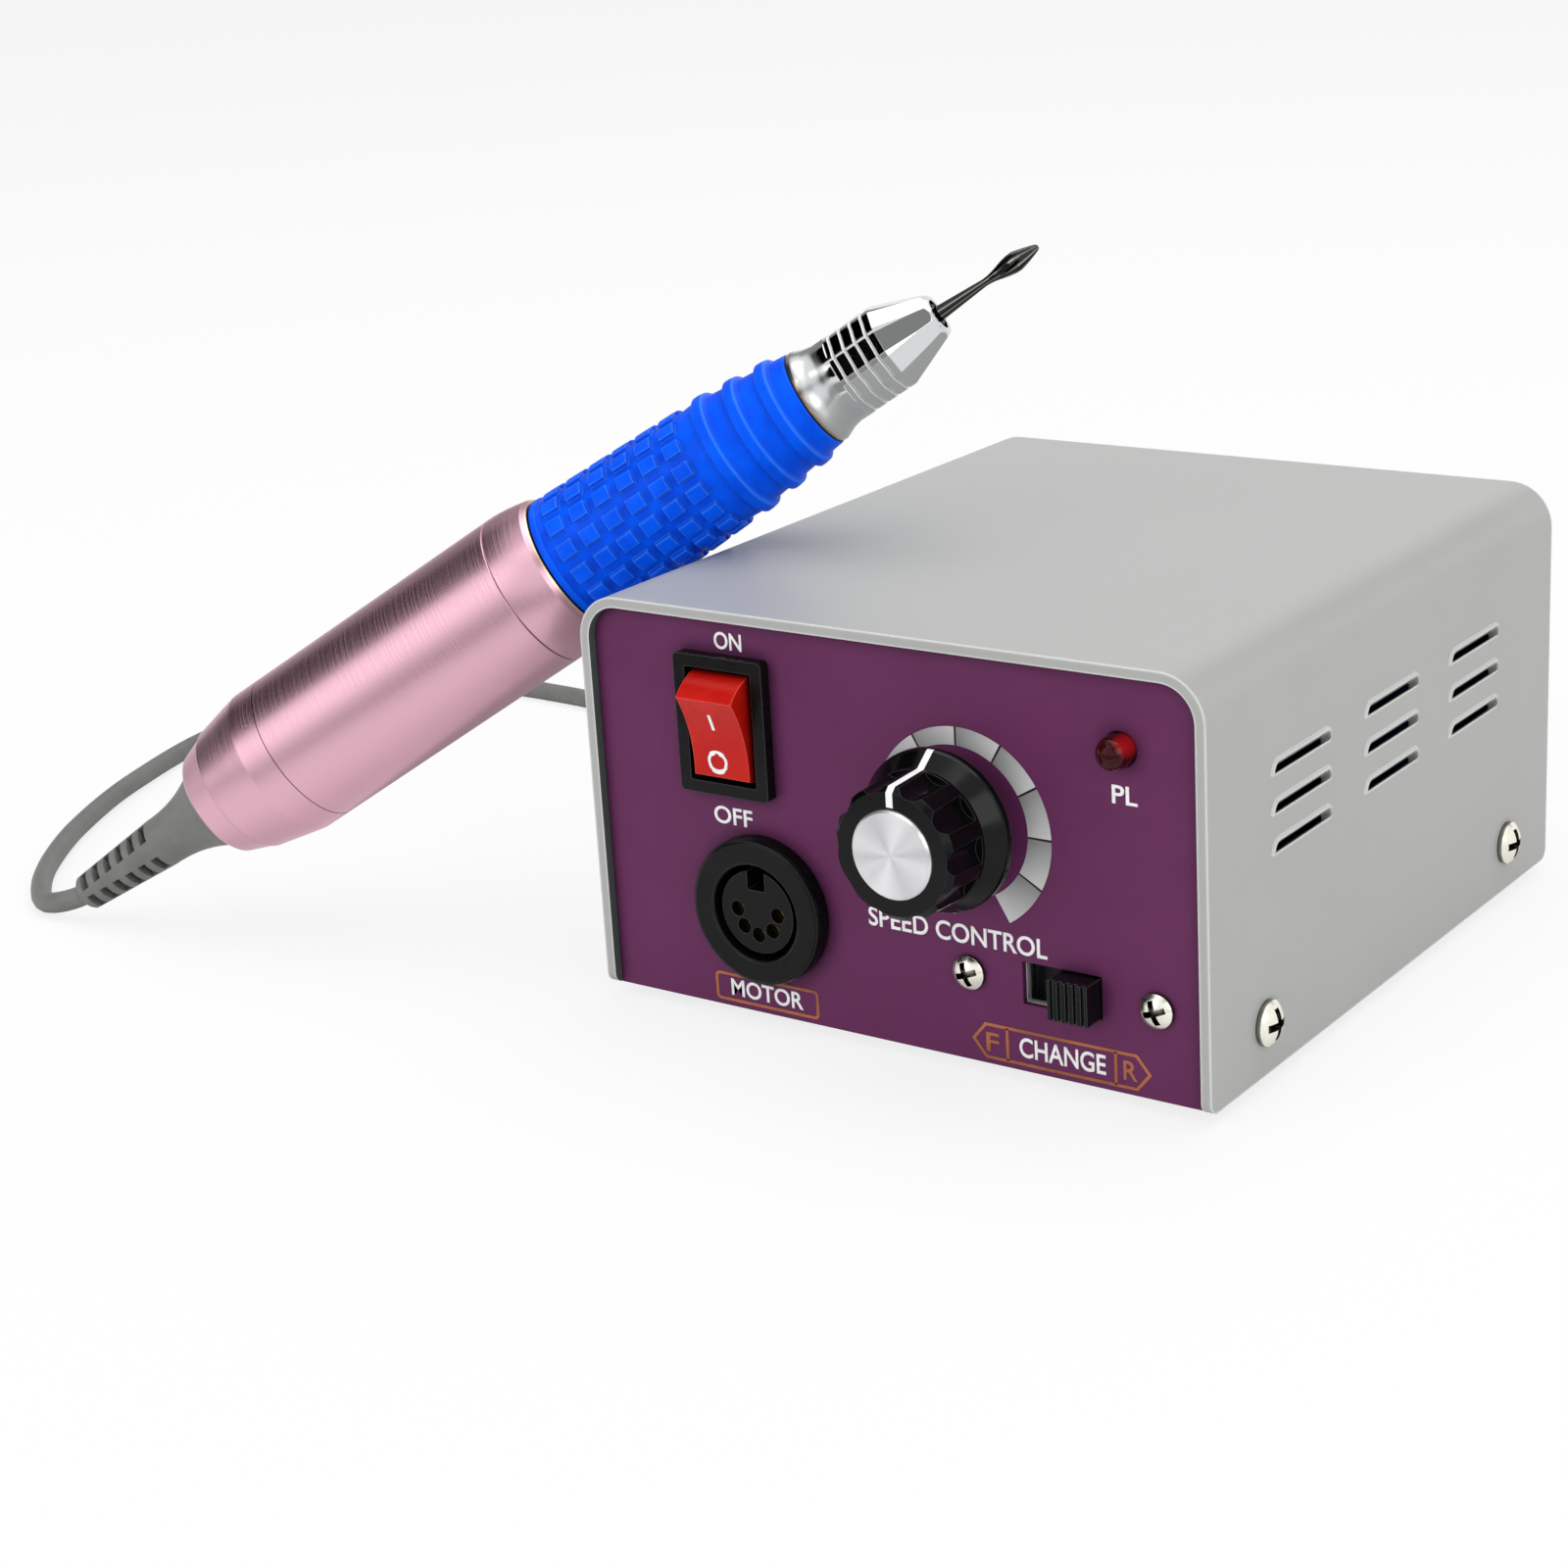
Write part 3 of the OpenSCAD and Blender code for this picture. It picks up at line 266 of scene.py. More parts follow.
def lines_along(tree, station, first_mm, pitch_mm, count):
    """Evenly spaced lines along an axis: how many pitches off the nearest one is, and 1 where there are lines."""
    start = add(tree, "Math", {1: first_mm * MM}, {0: station}, operation="SUBTRACT")
    pitches = add(tree, "Math", {1: per_metre(pitch_mm)}, {0: start.outputs["Value"]}, operation="MULTIPLY")
    nearest = add(tree, "Math", {1: 0.5}, {0: pitches.outputs["Value"]}, operation="PINGPONG")
    middle, reach = (count - 1) / 2, count / 2
    among = add(tree, "Math", {1: middle, 2: reach}, {0: pitches.outputs["Value"]}, operation="COMPARE")
    return nearest.outputs["Value"], among.outputs["Value"]


# %% [markdown]
# ### Paint
# The cover and the chassis are sheet steel, powder coated: satin, with the faint orange peel of baked powder, and
# paler on the edges, a painted highlight. The front is sprayed with a purple enamel, which is smoother.

# %% Paint
powder_coat, *coat_parts = finish("satin_powder_coat", {"Specular IOR Level": 0.35})
mottle(*coat_parts, "#a9aaa8", "#acadab", size_mm=30, rough=(0.36, 0.42), grain_mm=0.7, grain_um=4,
       edge_mm=0.6, edge="#f4f7f2")

enamel, *parts = finish("purple_enamel", {"Specular IOR Level": 0.15})
# Painted shade darkens the enamel in its recesses and round the parts that stand out of it.
mottle(*parts, "#612a54", "#652c58", size_mm=14, rough=(0.42, 0.5), grain_mm=0.5, grain_um=3, shut_mm=2.5, shut=0.8)

# %% [markdown]
# Just inside the front edge the cover's inner faces are painted dark grey, a painted shade for the shadow there.
# An inner face looks at the box's middle, so its normal points the other way from where it lies.

# %% Painted shade inside the front edge
COVER_MIDDLE, FACING_IN, FRONT_ZONE = 50 * MM, -25 * MM, -50.5 * MM
tree, main, place = coat_parts
side, depth, _ = add(tree, "SeparateXYZ", links={"Vector": place}).outputs
normal_x = add(tree, "SeparateXYZ", links={"Vector": add(tree, "NewGeometry").outputs["Normal"]}).outputs["X"]
off = add(tree, "Math", {1: COVER_MIDDLE}, {0: side}, operation="SUBTRACT")
outward = add(tree, "Math", links={0: off.outputs["Value"], 1: normal_x}, operation="MULTIPLY")
inner_face = add(tree, "Math", {1: FACING_IN}, {0: outward.outputs["Value"]}, operation="LESS_THAN")
front = add(tree, "Math", {1: FRONT_ZONE}, {0: depth}, operation="LESS_THAN")
painted_inner_shade = add(tree, "Math", links={0: inner_face.outputs["Value"], 1: front.outputs["Value"]}, operation="MULTIPLY")
# Painted shade: the inner faces near the front are painted dark grey.
paint_over(tree, main, painted_inner_shade.outputs["Value"], "#4a524f")

# %% [markdown]
# ### Plastic
# The switches and the socket are moulded ABS with a fine matt grain. The knob is glossy phenolic, and the rocker
# is red polycarbonate, which lets a little light in under its skin. Their edges are painted paler, a painted
# highlight, and the rocker's recesses get painted shade.

# %% Plastic
abs_black, *parts = finish("moulded_black_abs", {"Specular IOR Level": 0.16})
mottle(*parts, "#080909", "#0d0e0e", size_mm=4, rough=(0.24, 0.32), grain_mm=0.12, grain_um=3, edge="#4c4e4e")

phenolic_black, *parts = finish("glossy_black_phenolic", {"Specular IOR Level": 0.18})
mottle(*parts, "#050606", "#0a0b0b", size_mm=5, rough=(0.14, 0.2), grain_mm=0.25, grain_um=1.5,
       edge_mm=0.16, edge="#333535")

red_pc, *parts = finish("red_polycarbonate", {"Specular IOR Level": 0.18, "Subsurface Weight": 0.15,
                                              "Subsurface Radius": (0.002, 0.0004, 0.0003), "Subsurface Scale": 0.5})
mottle(*parts, "#b9120b", "#c61a10", size_mm=6, rough=(0.2, 0.28), grain_mm=0.3, grain_um=2,
       edge_mm=0.25, edge="#ee5a44", shut_mm=2, shut=0.8)

# %% [markdown]
# ### Rubber
# The grip is blue silicone rubber, which scatters light under its skin too. The cord and its strain relief are
# grey PVC, and the feet are black rubber with a coarse matt grain.

# %% Rubber
silicone, *grip_parts = finish("blue_silicone", {"Specular IOR Level": 0.06, "Subsurface Weight": 0.1,
                                                 "Subsurface Radius": (0.0003, 0.0006, 0.002),
                                                 "Subsurface Scale": 0.5})
# The grip's edges get a painted highlight in pale blue, and its grooves and gaps get painted shade.
mottle(*grip_parts, "#0050ea", "#005eff", size_mm=5, rough=(0.34, 0.42), grain_mm=0.35, grain_um=4,
       edge_mm=0.45, edge="#4a98ff", shut_mm=1.2, shut=0.8)

pvc_grey, *parts = finish("grey_pvc", {"Specular IOR Level": 0.25})
mottle(*parts, "#6e6f6c", "#787976", size_mm=6, rough=(0.42, 0.52), grain_mm=0.3, grain_um=8)

rubber_black, *parts = finish("black_rubber", {"Specular IOR Level": 0.25})
mottle(*parts, "#161617", "#202122", size_mm=3, rough=(0.6, 0.75), grain_mm=0.3, grain_um=14)

# %% [markdown]
# ### Ink
# The words are printed in white, the outlines in a dull gold that is far from even, and the lines of the knob's
# scale in a dark ink.

# %% Ink
white_print, *parts = finish("white_screen_ink", {"Specular IOR Level": 0.3})
mottle(*parts, "#efeff0", "#fbfbfb", size_mm=2, rough=(0.5, 0.6), grain_mm=0.2, grain_um=4)

gold_print, *parts = finish("gold_screen_ink", {"Specular IOR Level": 0.3})
mottle(*parts, "#8f5338", "#b46a48", size_mm=9, rough=(0.4, 0.55), grain_mm=0.2, grain_um=4)

line_print, *parts = finish("dark_screen_ink", {"Specular IOR Level": 0.2})
mottle(*parts, "#241820", "#2c1e27", size_mm=2, rough=(0.5, 0.6), grain_mm=0.2, grain_um=4)

# %% [markdown]
# ### Metal
# Turned metal carries fine rings round its axis. A Mapping node lays the handpiece's axis along z, so that a
# band pattern along z becomes those rings. Anodised aluminium keeps its metal gloss under a tint. Past a station
# along the axis it is painted a paler peach, and its recesses get painted shade.

# %% Turned metal
ANODISED_PALE_FROM = 106.7


def turned(name, pitch_mm, rough):
    """A turned metal: rings round the handpiece's axis, as a change in its gloss."""
    made, tree, main, place = finish(name, {"Metallic": 1})
    lay_down = {"Location": TAIL, "Rotation": HANDPIECE_TURN}
    axis = add(tree, "Mapping", lay_down, {"Vector": place}, vector_type="TEXTURE")
    split = add(tree, "SeparateXYZ", links={"Vector": axis.outputs["Vector"]})
    step = add(tree, "Math", {1: per_metre(pitch_mm)}, {0: split.outputs["Z"]}, operation="MULTIPLY")
    rings = add(tree, "TexNoise", {"Scale": 1, "Detail": 2}, {"W": step.outputs["Value"]}, noise_dimensions="1D")
    set_gloss(tree, main, rings.outputs["Fac"], rough)
    return made, tree, main, split


def colour_past_station(tree, main, split, tinted, past_code, test, station_mm, shut=1.5):
    """A second colour on one side of a station along the axis, with painted shade in the recesses."""
    past_station = add(tree, "Math", {1: station_mm * MM}, {0: split.outputs["Z"]}, operation=test)
    both = add(tree, "Mix", {6: colour(tinted), 7: colour(past_code)}, {0: past_station.outputs["Value"]}, data_type="RGBA")
    tree.links.new(painted_shade(tree, both.outputs[2], reach_mm=0.5, power=shut), main.inputs["Base Color"])


anodised, *parts = turned("pink_anodised_aluminium", pitch_mm=0.3, rough=(0.3, 0.42))
# Painted a paler peach past the station, with painted shade in the recesses.
colour_past_station(*parts, tinted="#e3b4c4", past_code="#f6d3b0", test="GREATER_THAN", station_mm=ANODISED_PALE_FROM)

# %% [markdown]
# The nose is steel polished on a wheel. That rounds and hazes its waist, and leaves the band in front of it
# crisp. The four ring grooves are cut after polishing, so they stay matt, and they are also painted near white, a
# painted highlight. The collar behind the waist is painted warm gold, a painted reflection.

# %% The polished nose
NOSE_COLLAR, WAIST, BAND = 155.7, 160, 161.2
ROUND_WAIST, ROUND_BAND, ROUGH_WAIST, ROUGH_GROOVE = 1.4, 0.15, 0.24, 0.6
GROOVE_FIRST, GROOVE_PITCH, GROOVES, GROOVE_HALF = 162.65, 2, 4, 0.13

polished, *parts = turned("polished_turned_steel", pitch_mm=0.2, rough=(0.05, 0.1))
# Painted reflection: the collar behind the waist is painted warm gold, with a trace of painted shade.
colour_past_station(*parts, tinted="#d3d5d6", past_code="#e0b884", test="LESS_THAN", station_mm=NOSE_COLLAR, shut=0.1)
tree, main, split = parts
station = split.outputs["Z"]
waist_to_band = {"From Min": WAIST * MM, "From Max": BAND * MM}
rounding = {**waist_to_band, "To Min": ROUND_WAIST * MM, "To Max": ROUND_BAND * MM}
radius = add(tree, "MapRange", rounding, {"Value": station})
soft = add(tree, "Bevel", links={"Radius": radius.outputs["Result"]}, samples=8)
tree.links.new(soft.outputs["Normal"], main.inputs["Normal"])

nearest, among = lines_along(tree, station, GROOVE_FIRST, GROOVE_PITCH, GROOVES)
inside = add(tree, "Math", {1: GROOVE_HALF}, {0: nearest}, operation="LESS_THAN")
matt = add(tree, "Math", links={0: inside.outputs["Value"], 1: among}, operation="MULTIPLY").outputs["Value"]
haze = add(tree, "MapRange", {**waist_to_band, "To Min": ROUGH_WAIST, "To Max": 0}, {"Value": station})
gloss = main.inputs["Roughness"].links[0].from_socket
gloss = add(tree, "Math", links={0: gloss, 1: haze.outputs["Result"]}, operation="MAXIMUM").outputs["Value"]
both = add(tree, "Mix", {3: ROUGH_GROOVE}, {0: matt, 2: gloss}, data_type="FLOAT")
tree.links.new(both.outputs[0], main.inputs["Roughness"])
# Painted highlight: the grooves are painted near white.
paint_over(tree, main, matt, "#f4f4f2")

# %% [markdown]
# The burr is ground from tungsten carbide, which is dark. Painted highlights, bright streaks, take turns with
# dark ones round its axis.

# %% The burr
STREAKS, STREAK_FROM, STREAK_TO = 8, 0.3, 0.46
carbide, tree, main, split = turned("tungsten_carbide", pitch_mm=0.4, rough=(0.1, 0.16))
axis = split.inputs["Vector"].links[0].from_socket
sweep = add(tree, "TexGradient", links={"Vector": axis}, gradient_type="RADIAL")
turns = add(tree, "Math", {1: STREAKS}, {0: sweep.outputs["Fac"]}, operation="MULTIPLY")
share = add(tree, "Math", {1: 0.5}, {0: turns.outputs["Value"]}, operation="PINGPONG")
# Painted highlight: bright streaks by angle round the axis.
streak_highlight = add(tree, "MapRange", {"From Min": STREAK_FROM, "From Max": STREAK_TO}, {"Value": share.outputs["Value"]})
both = add(tree, "Mix", {6: colour("#3a3938"), 7: colour("#a3a19c")}, {0: streak_highlight.outputs["Result"]}, data_type="RGBA")
tree.links.new(both.outputs[2], main.inputs["Base Color"])

# %% [markdown]
# The screws are nickel plated, which is a warm white, and shade gathers in their cross slots. The contacts and
# the plug's pins are brass, and the transformer's winding is copper wire in a clear enamel.

# %% Plate, brass and copper
nickel, *parts = finish("nickel_plate", {"Metallic": 1})
mottle(*parts, "#f1eedf", "#f8f6ea", size_mm=2, rough=(0.2, 0.28), grain_mm=0.4, grain_um=0.2,
       edge_mm=0.15, shut_mm=1.3, shut=3.2)

brass, *parts = finish("brass", {"Metallic": 1})
mottle(*parts, "#c59e4c", "#d6b15e", size_mm=3, rough=(0.22, 0.34), grain_mm=0.4, grain_um=2)

copper, *parts = finish("enamelled_copper", {"Metallic": 1})
mottle(*parts, "#b0703c", "#c48248", size_mm=2, rough=(0.3, 0.42), grain_mm=0.5, grain_um=6)

# %% [markdown]
# The knob's cap is aluminium faced on a lathe: its rings run round the knob's middle, and light fans out
# from there. Anisotropy does that fan, if the shader knows which way the rings run.

# %% The spun cap
KNOB_AT = Vector((62.36, -52.5, 38.62)) * MM
PANEL_TURN = Euler((math.pi / 2, 0, 0))
RING_MM = 0.2

spun, tree, main, place = finish("spun_aluminium", {"Metallic": 1, "Base Color": colour("#f2f2f4"),
                                                    "Anisotropic": 0.95, "Anisotropic Rotation": 0.25})
centred = add(tree, "Mapping", {"Location": KNOB_AT, "Rotation": PANEL_TURN}, {"Vector": place}, vector_type="TEXTURE")
flat = add(tree, "VectorMath", {1: (1, 1, 0)}, {0: centred.outputs["Vector"]}, operation="MULTIPLY")
reach = add(tree, "VectorMath", links={0: flat.outputs["Vector"]}, operation="LENGTH")
step = add(tree, "Math", {1: per_metre(RING_MM)}, {0: reach.outputs["Value"]}, operation="MULTIPLY")
rings = add(tree, "TexNoise", {"Scale": 1, "Detail": 2}, {"W": step.outputs["Value"]}, noise_dimensions="1D")
set_gloss(tree, main, rings.outputs["Fac"], (0.36, 0.46))
tangent = add(tree, "Tangent", direction_type="RADIAL", axis="Y")
bump = add(tree, "Bump", {"Strength": 1, "Distance": 1e-6}, {"Height": rings.outputs["Fac"]})
tree.links.new(bump.outputs["Normal"], main.inputs["Normal"])
tree.links.new(tangent.outputs["Tangent"], main.inputs["Tangent"])

# %% [markdown]
# The pilot lamp is a dome of dark red epoxy. Light that enters a dome on one side gathers on the far side, so
# the edge away from the lamps is painted bright red, a painted glow, while the middle stays dark.

# %% The lens of the pilot lamp
LAMP_AT = Vector((89.12, -52.5, 52.75)) * MM
FAR_SIDE, GLOW_FROM, GLOW_TO = (0.8, 0.6, 0), 1.6, 2.6

lamp_red, tree, main, place = finish("red_epoxy_lens", {"Specular IOR Level": 0.16, "Roughness": 0.04})
centred = add(tree, "Mapping", {"Location": LAMP_AT, "Rotation": PANEL_TURN}, {"Vector": place}, vector_type="TEXTURE")
across = add(tree, "VectorMath", {1: FAR_SIDE}, {0: centred.outputs["Vector"]}, operation="DOT_PRODUCT")
rise = {"From Min": GLOW_FROM * MM, "From Max": GLOW_TO * MM}
# Painted glow: the far edge of the dome is painted bright red.
painted_glow = add(tree, "MapRange", rise, {"Value": across.outputs["Value"]})
glowing = add(tree, "ValToRGB", links={"Fac": painted_glow.outputs["Result"]})
for stop, code in zip(glowing.color_ramp.elements, ("#36080a", "#b01618")):
    stop.color = colour(code)
tree.links.new(glowing.outputs["Color"], main.inputs["Base Color"])

# %% [markdown]
# ### Inside the housings
# What is inside shows only when the machine is taken apart, but each piece still gets the finish of what it
# is: laminated steel, glass-fibre board, nylon and so on.

# %% Inner finishes
# Two colours, metal or not, the range of roughness, and the grain in millimetres
INNER = {
    "laminated_steel": ("#3e4042", "#4c4e50", 0.5, (0.4, 0.55), 0.5),
    "phenolic_board": ("#6f5236", "#7f6040", 0, (0.5, 0.6), 0.6),
    "solder_mask": ("#1e4a2c", "#2a5f3a", 0, (0.2, 0.3), 0.8),
    "shrink_sleeve": ("#1d3a6c", "#284a82", 0, (0.25, 0.35), 1.5),
    "ferrite": ("#343438", "#404044", 0, (0.6, 0.7), 0.3),
    "nylon": ("#d2cec0", "#dedacd", 0, (0.45, 0.55), 1.0),
    "bearing_steel": ("#a9abad", "#babcbe", 1, (0.2, 0.32), 0.4),
    "die_cast_aluminium": ("#b4b6b8", "#c4c6c8", 1, (0.3, 0.42), 0.6),
}
inner = {}
for name, (dark, light, metal, rough, grain) in INNER.items():
    inner[name], *parts = finish(name, {"Metallic": metal})
    mottle(*parts, dark, light, size_mm=5, rough=rough, grain_mm=grain, grain_um=5)

# %% [markdown]
# ## Dressing the solids
# Each solid names a slot in the part's record, so one table from slot to finish dresses them all.

# %% Dress the solids
FINISH_OF = {
    "cover_paint": powder_coat, "panel_paint": enamel, "chassis_steel": powder_coat, "nickel": nickel,
    "foot_rubber": rubber_black, "black_plastic": abs_black, "gloss_black": phenolic_black, "red_plastic": red_pc,
    "lamp_red": lamp_red, "brass": brass, "turned_aluminium": inner["die_cast_aluminium"], "white_paint": white_print,
    "steel": inner["bearing_steel"], "laminated_steel": inner["laminated_steel"], "copper_winding": copper,
    "phenolic": inner["phenolic_board"], "board_green": inner["solder_mask"], "cap_sleeve": inner["shrink_sleeve"],
    "pink_anodised": anodised, "blue_rubber": silicone, "grey_rubber": pvc_grey, "bright_nose": polished,
    "tool_steel": carbide, "magnet": inner["ferrite"], "nylon": inner["nylon"],
}
for row in frame["record"]["subparts"]:
    mesh = CAD[row["node"]].data
    mesh.materials.clear()
    mesh.materials.append(FINISH_OF[row["material_slot"]])
CAD["knob_cap"].data.materials[0] = spun
cord.data.materials.append(pvc_grey)

# %% [markdown]
# ## Printing on the front
# The words by the controls are screen printed: a film of ink a few hundredths of a millimetre thick. Blender
# can set type, turn it into a mesh and stretch it to the measured width and height of the print.

# %% Words
PANEL_Y = -52.5
INK = 0.05
LETTER_DEPTH, LETTER_SUNK, LETTER_WEIGHT = 0.5, 0.4, 0.018


def settle(thing, material, place=Matrix(), owner="control_box"):
    """Move a finished piece to its place, write that into its mesh, give it its finish, and let it ride."""
    bpy.ops.object.select_all(action="DESELECT")
    thing.select_set(True)
    bpy.context.view_layer.objects.active = thing
    thing.matrix_world = place @ thing.matrix_world
    bpy.ops.object.transform_apply(location=True, rotation=True, scale=True)
    thing.data.materials.clear()
    thing.data.materials.append(material)
    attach(thing, owner)


def on_panel(x, z, out=0.0):
    """The panel's own axes at a point: x to the right, y up, z out of the panel."""
    return Matrix.Translation(Vector((x, PANEL_Y - out, z)) * MM) @ PANEL_TURN.to_matrix().to_4x4()


def print_word(name, word, left, right, low, high, ink=white_print):
    """Set a word in type and stretch it between the measured edges of the print."""
    bpy.ops.object.select_all(action="DESELECT")
    bpy.ops.object.text_add()
    letters = bpy.context.object
    letters.name = name
    letters.data.body = word
    letters.data.extrude = LETTER_DEPTH
    letters.data.offset = LETTER_WEIGHT
    letters.data.resolution_u = 6
    bpy.ops.object.convert(target="MESH")
    corners = [Vector(c) for c in letters.bound_box]
    start, size = corners[0], corners[6] - corners[0]
    across, tall = (right - left) / size.x, (high - low) / size.y
    grow = Matrix.Diagonal((across * MM, tall * MM, INK * MM, 1))
    from_corner = Matrix.Translation((-start.x, -start.y, LETTER_SUNK))
    settle(letters, ink, on_panel(left, low) @ grow @ from_corner)


# Name, text, and the print's left, right, low and high edges in millimetres
WORDS = [("print_on", "ON", 21.2, 26.2, 58.8, 61.5), ("print_off", "OFF", 19.1, 26.2, 31.5, 34.3),
         ("print_motor", "MOTOR", 20.1, 33.5, 3.7, 6.5), ("print_speed", "SPEED CONTROL", 46.3, 76.6, 19.8, 22.8),
         ("print_lamp", "PL", 87.7, 91.7, 44.9, 47.6), ("print_change", "CHANGE", 71.4, 85.6, 4.0, 7.1)]
for word in WORDS:
    print_word(*word)
print_word("print_forward", "F", 65.8, 68.0, 3.8, 6.8, gold_print)
print_word("print_reverse", "R", 88.4, 90.7, 4.0, 7.0, gold_print)
print(len(WORDS) + 2, "words and letters printed")

# %% [markdown]
# Two gold outlines frame the words under the socket and the switch. Each starts as a flat face, whose corners
# are cut or rounded. An inset leaves a narrow rim, the middle is deleted, and a Solidify gives the ink its body.

# %% Outlines
RIM = 0.52
MOTOR_AT, MOTOR_SIZE, MOTOR_CORNER = (26.8, 5.0), (19.2, 4.7), 0.9
CHANGE_AT, ARROW_HALF, ARROW_TALL, ARROW_SHOULDER = (78.2, 5.45), 14.8, 2.8, 12.5


def rim_of(thing, name, centre):
    """Turn the flat face that is being edited into a printed outline."""
    bpy.ops.mesh.select_all(action="SELECT")
    bpy.ops.mesh.inset(thickness=RIM * MM)
    bpy.ops.mesh.delete(type="FACE")
    bpy.ops.object.mode_set(mode="OBJECT")
    body = thing.modifiers.new("ink", "SOLIDIFY")
    body.thickness = INK * MM
    body.offset = 1
    bpy.ops.object.modifier_apply(modifier="ink")
    thing.name = name
    settle(thing, gold_print, on_panel(*centre))


bpy.ops.object.select_all(action="DESELECT")
bpy.ops.mesh.primitive_plane_add(size=MM)
plate = bpy.context.object
bpy.ops.object.mode_set(mode="EDIT")
bpy.ops.transform.resize(value=(*MOTOR_SIZE, 1))
bpy.ops.mesh.bevel(affect="VERTICES", offset=MOTOR_CORNER * MM, segments=4)
rim_of(plate, "motor_outline", MOTOR_AT)

bpy.ops.object.select_all(action="DESELECT")
bpy.ops.mesh.primitive_circle_add(vertices=6, radius=MM, fill_type="NGON", rotation=(0, 0, math.pi / 2))
arrow = bpy.context.object
bpy.ops.object.transform_apply(rotation=True)
bpy.ops.object.mode_set(mode="EDIT")
bpy.ops.transform.resize(value=(ARROW_HALF, ARROW_TALL / math.sin(math.radians(60)), 1))
bpy.ops.mesh.select_mode(type="VERT")
bpy.ops.mesh.select_all(action="DESELECT")
bpy.ops.object.mode_set(mode="OBJECT")
for corner in arrow.data.vertices:
    corner.select = abs(corner.co.y) > MM
bpy.ops.object.mode_set(mode="EDIT")
bpy.ops.transform.resize(value=(ARROW_SHOULDER / (ARROW_HALF / 2), 1, 1))
rim_of(arrow, "change_outline", CHANGE_AT)

# %% [markdown]
# Two bars split the arrow-shaped outline. A plane, resized and extruded by the ink's thickness, makes each.

# %% Bars
BAR_TALL = 5.0
for side, x in (("left", 69.4), ("right", 87.2)):
    bpy.ops.object.select_all(action="DESELECT")
    bpy.ops.mesh.primitive_plane_add(size=MM)
    bar = bpy.context.object
    bar.name = "change_bar_" + side
    bpy.ops.object.mode_set(mode="EDIT")
    bpy.ops.transform.resize(value=(RIM, BAR_TALL, 1))
    bpy.ops.mesh.extrude_region_move(TRANSFORM_OT_translate={"value": (0, 0, INK * MM)})
    bpy.ops.object.mode_set(mode="OBJECT")
    settle(bar, gold_print, on_panel(x, CHANGE_AT[1]))

# %% [markdown]
# The scale round the knob is a band that widens clockwise, in ten steps of thirty degrees with thin dark lines
# between. A band like that follows a rule and has no primitive, so its corners are worked out and joined into
# faces. Each step fades from pale to darker grey.

# %% The scale round the knob
SCALE_AT, SCALE_R, SCALE_FROM, SCALE_TO, SCALE_STEPS = (62.66, 37.72), 13.3, -150, 150, 10
SCALE_NARROW, SCALE_WIDENS, LINE, LINE_INK, CUT_EVERY = 1, 3.5, 0.7, 0.8 * INK, 3
scale_step = (SCALE_TO - SCALE_FROM) / SCALE_STEPS


def scale_band(name, spans, thick, ink):
    """Flat arcs round the knob, from clock angle to clock angle, as wide as the scale is there."""
    corners, faces = [], []
    for first, last in spans:
        cuts = max(1, round((last - first) / CUT_EVERY))
        for i in range(cuts + 1):
            clock = first + (last - first) * i / cuts
            half = 0.5 * (SCALE_NARROW + SCALE_WIDENS * (clock - SCALE_FROM) / (SCALE_TO - SCALE_FROM))
            for radius in (SCALE_R - half, SCALE_R + half):
                angle = math.radians(clock)
                corners.append(Vector((radius * math.sin(angle), radius * math.cos(angle), 0)) * MM)
            if i:
                n = len(corners)
                faces.append((n - 4, n - 3, n - 1, n - 2))
    mesh = bpy.data.meshes.new(name)
    mesh.from_pydata(corners, [], faces)
    band = bpy.data.objects.new(name, mesh)
    bpy.context.scene.collection.objects.link(band)
    bpy.context.view_layer.objects.active = band
    body = band.modifiers.new("ink", "SOLIDIFY")
    body.thickness = thick * MM
    body.offset = -1
    bpy.ops.object.modifier_apply(modifier="ink")
    settle(band, ink, on_panel(*SCALE_AT))


scale_ink, tree, main, place = finish("graded_grey_screen_ink", {"Roughness": 0.5, "Specular IOR Level": 0.25})
middle = on_panel(*SCALE_AT).translation
centred = add(tree, "Mapping", {"Location": middle, "Rotation": PANEL_TURN}, {"Vector": place}, vector_type="TEXTURE")
sweep = add(tree, "TexGradient", links={"Vector": centred.outputs["Vector"]}, gradient_type="RADIAL")
steps = add(tree, "Math", {1: 360 / scale_step}, {0: sweep.outputs["Fac"]}, operation="MULTIPLY")
share = add(tree, "Math", links={0: steps.outputs["Value"]}, operation="FRACT")
shade = add(tree, "ValToRGB", links={"Fac": share.outputs["Value"]})
for stop, code in zip(shade.color_ramp.elements, ("#cfcfcf", "#8b8b8c")):
    stop.color = colour(code)
tree.links.new(shade.outputs["Color"], main.inputs["Base Color"])

marks = [SCALE_FROM + scale_step * i for i in range(SCALE_STEPS + 1)]
scale_band("speed_scale", [(a + LINE, b - LINE) for a, b in zip(marks, marks[1:])], INK, scale_ink)
scale_band("speed_scale_lines", [(m - LINE, m + LINE) for m in marks[1:-1]], LINE_INK, line_print)

# %% [markdown]
# ## Marks on the rocker
# The I and the O are inlaid in white on the rocker's hollow face. They are made flat, and then each point moves
# to the nearest point of the face, so that they follow its curve. They turn with the rocker.

# %% Rocker marks
ROCKER_AT = (22.8, 47.4)
ROCKER_TILT = math.radians(15)
MARK_OUT, MARK_PROUD = 9, 0.02
I_SIZE, I_PLACE = (0.55, 2.2), (-0.2, -0.7)
O_RADIUS, O_SQUASH, O_LINE, O_PLACE = 1.8, 0.76, 0.5, (-0.6, -5.8)


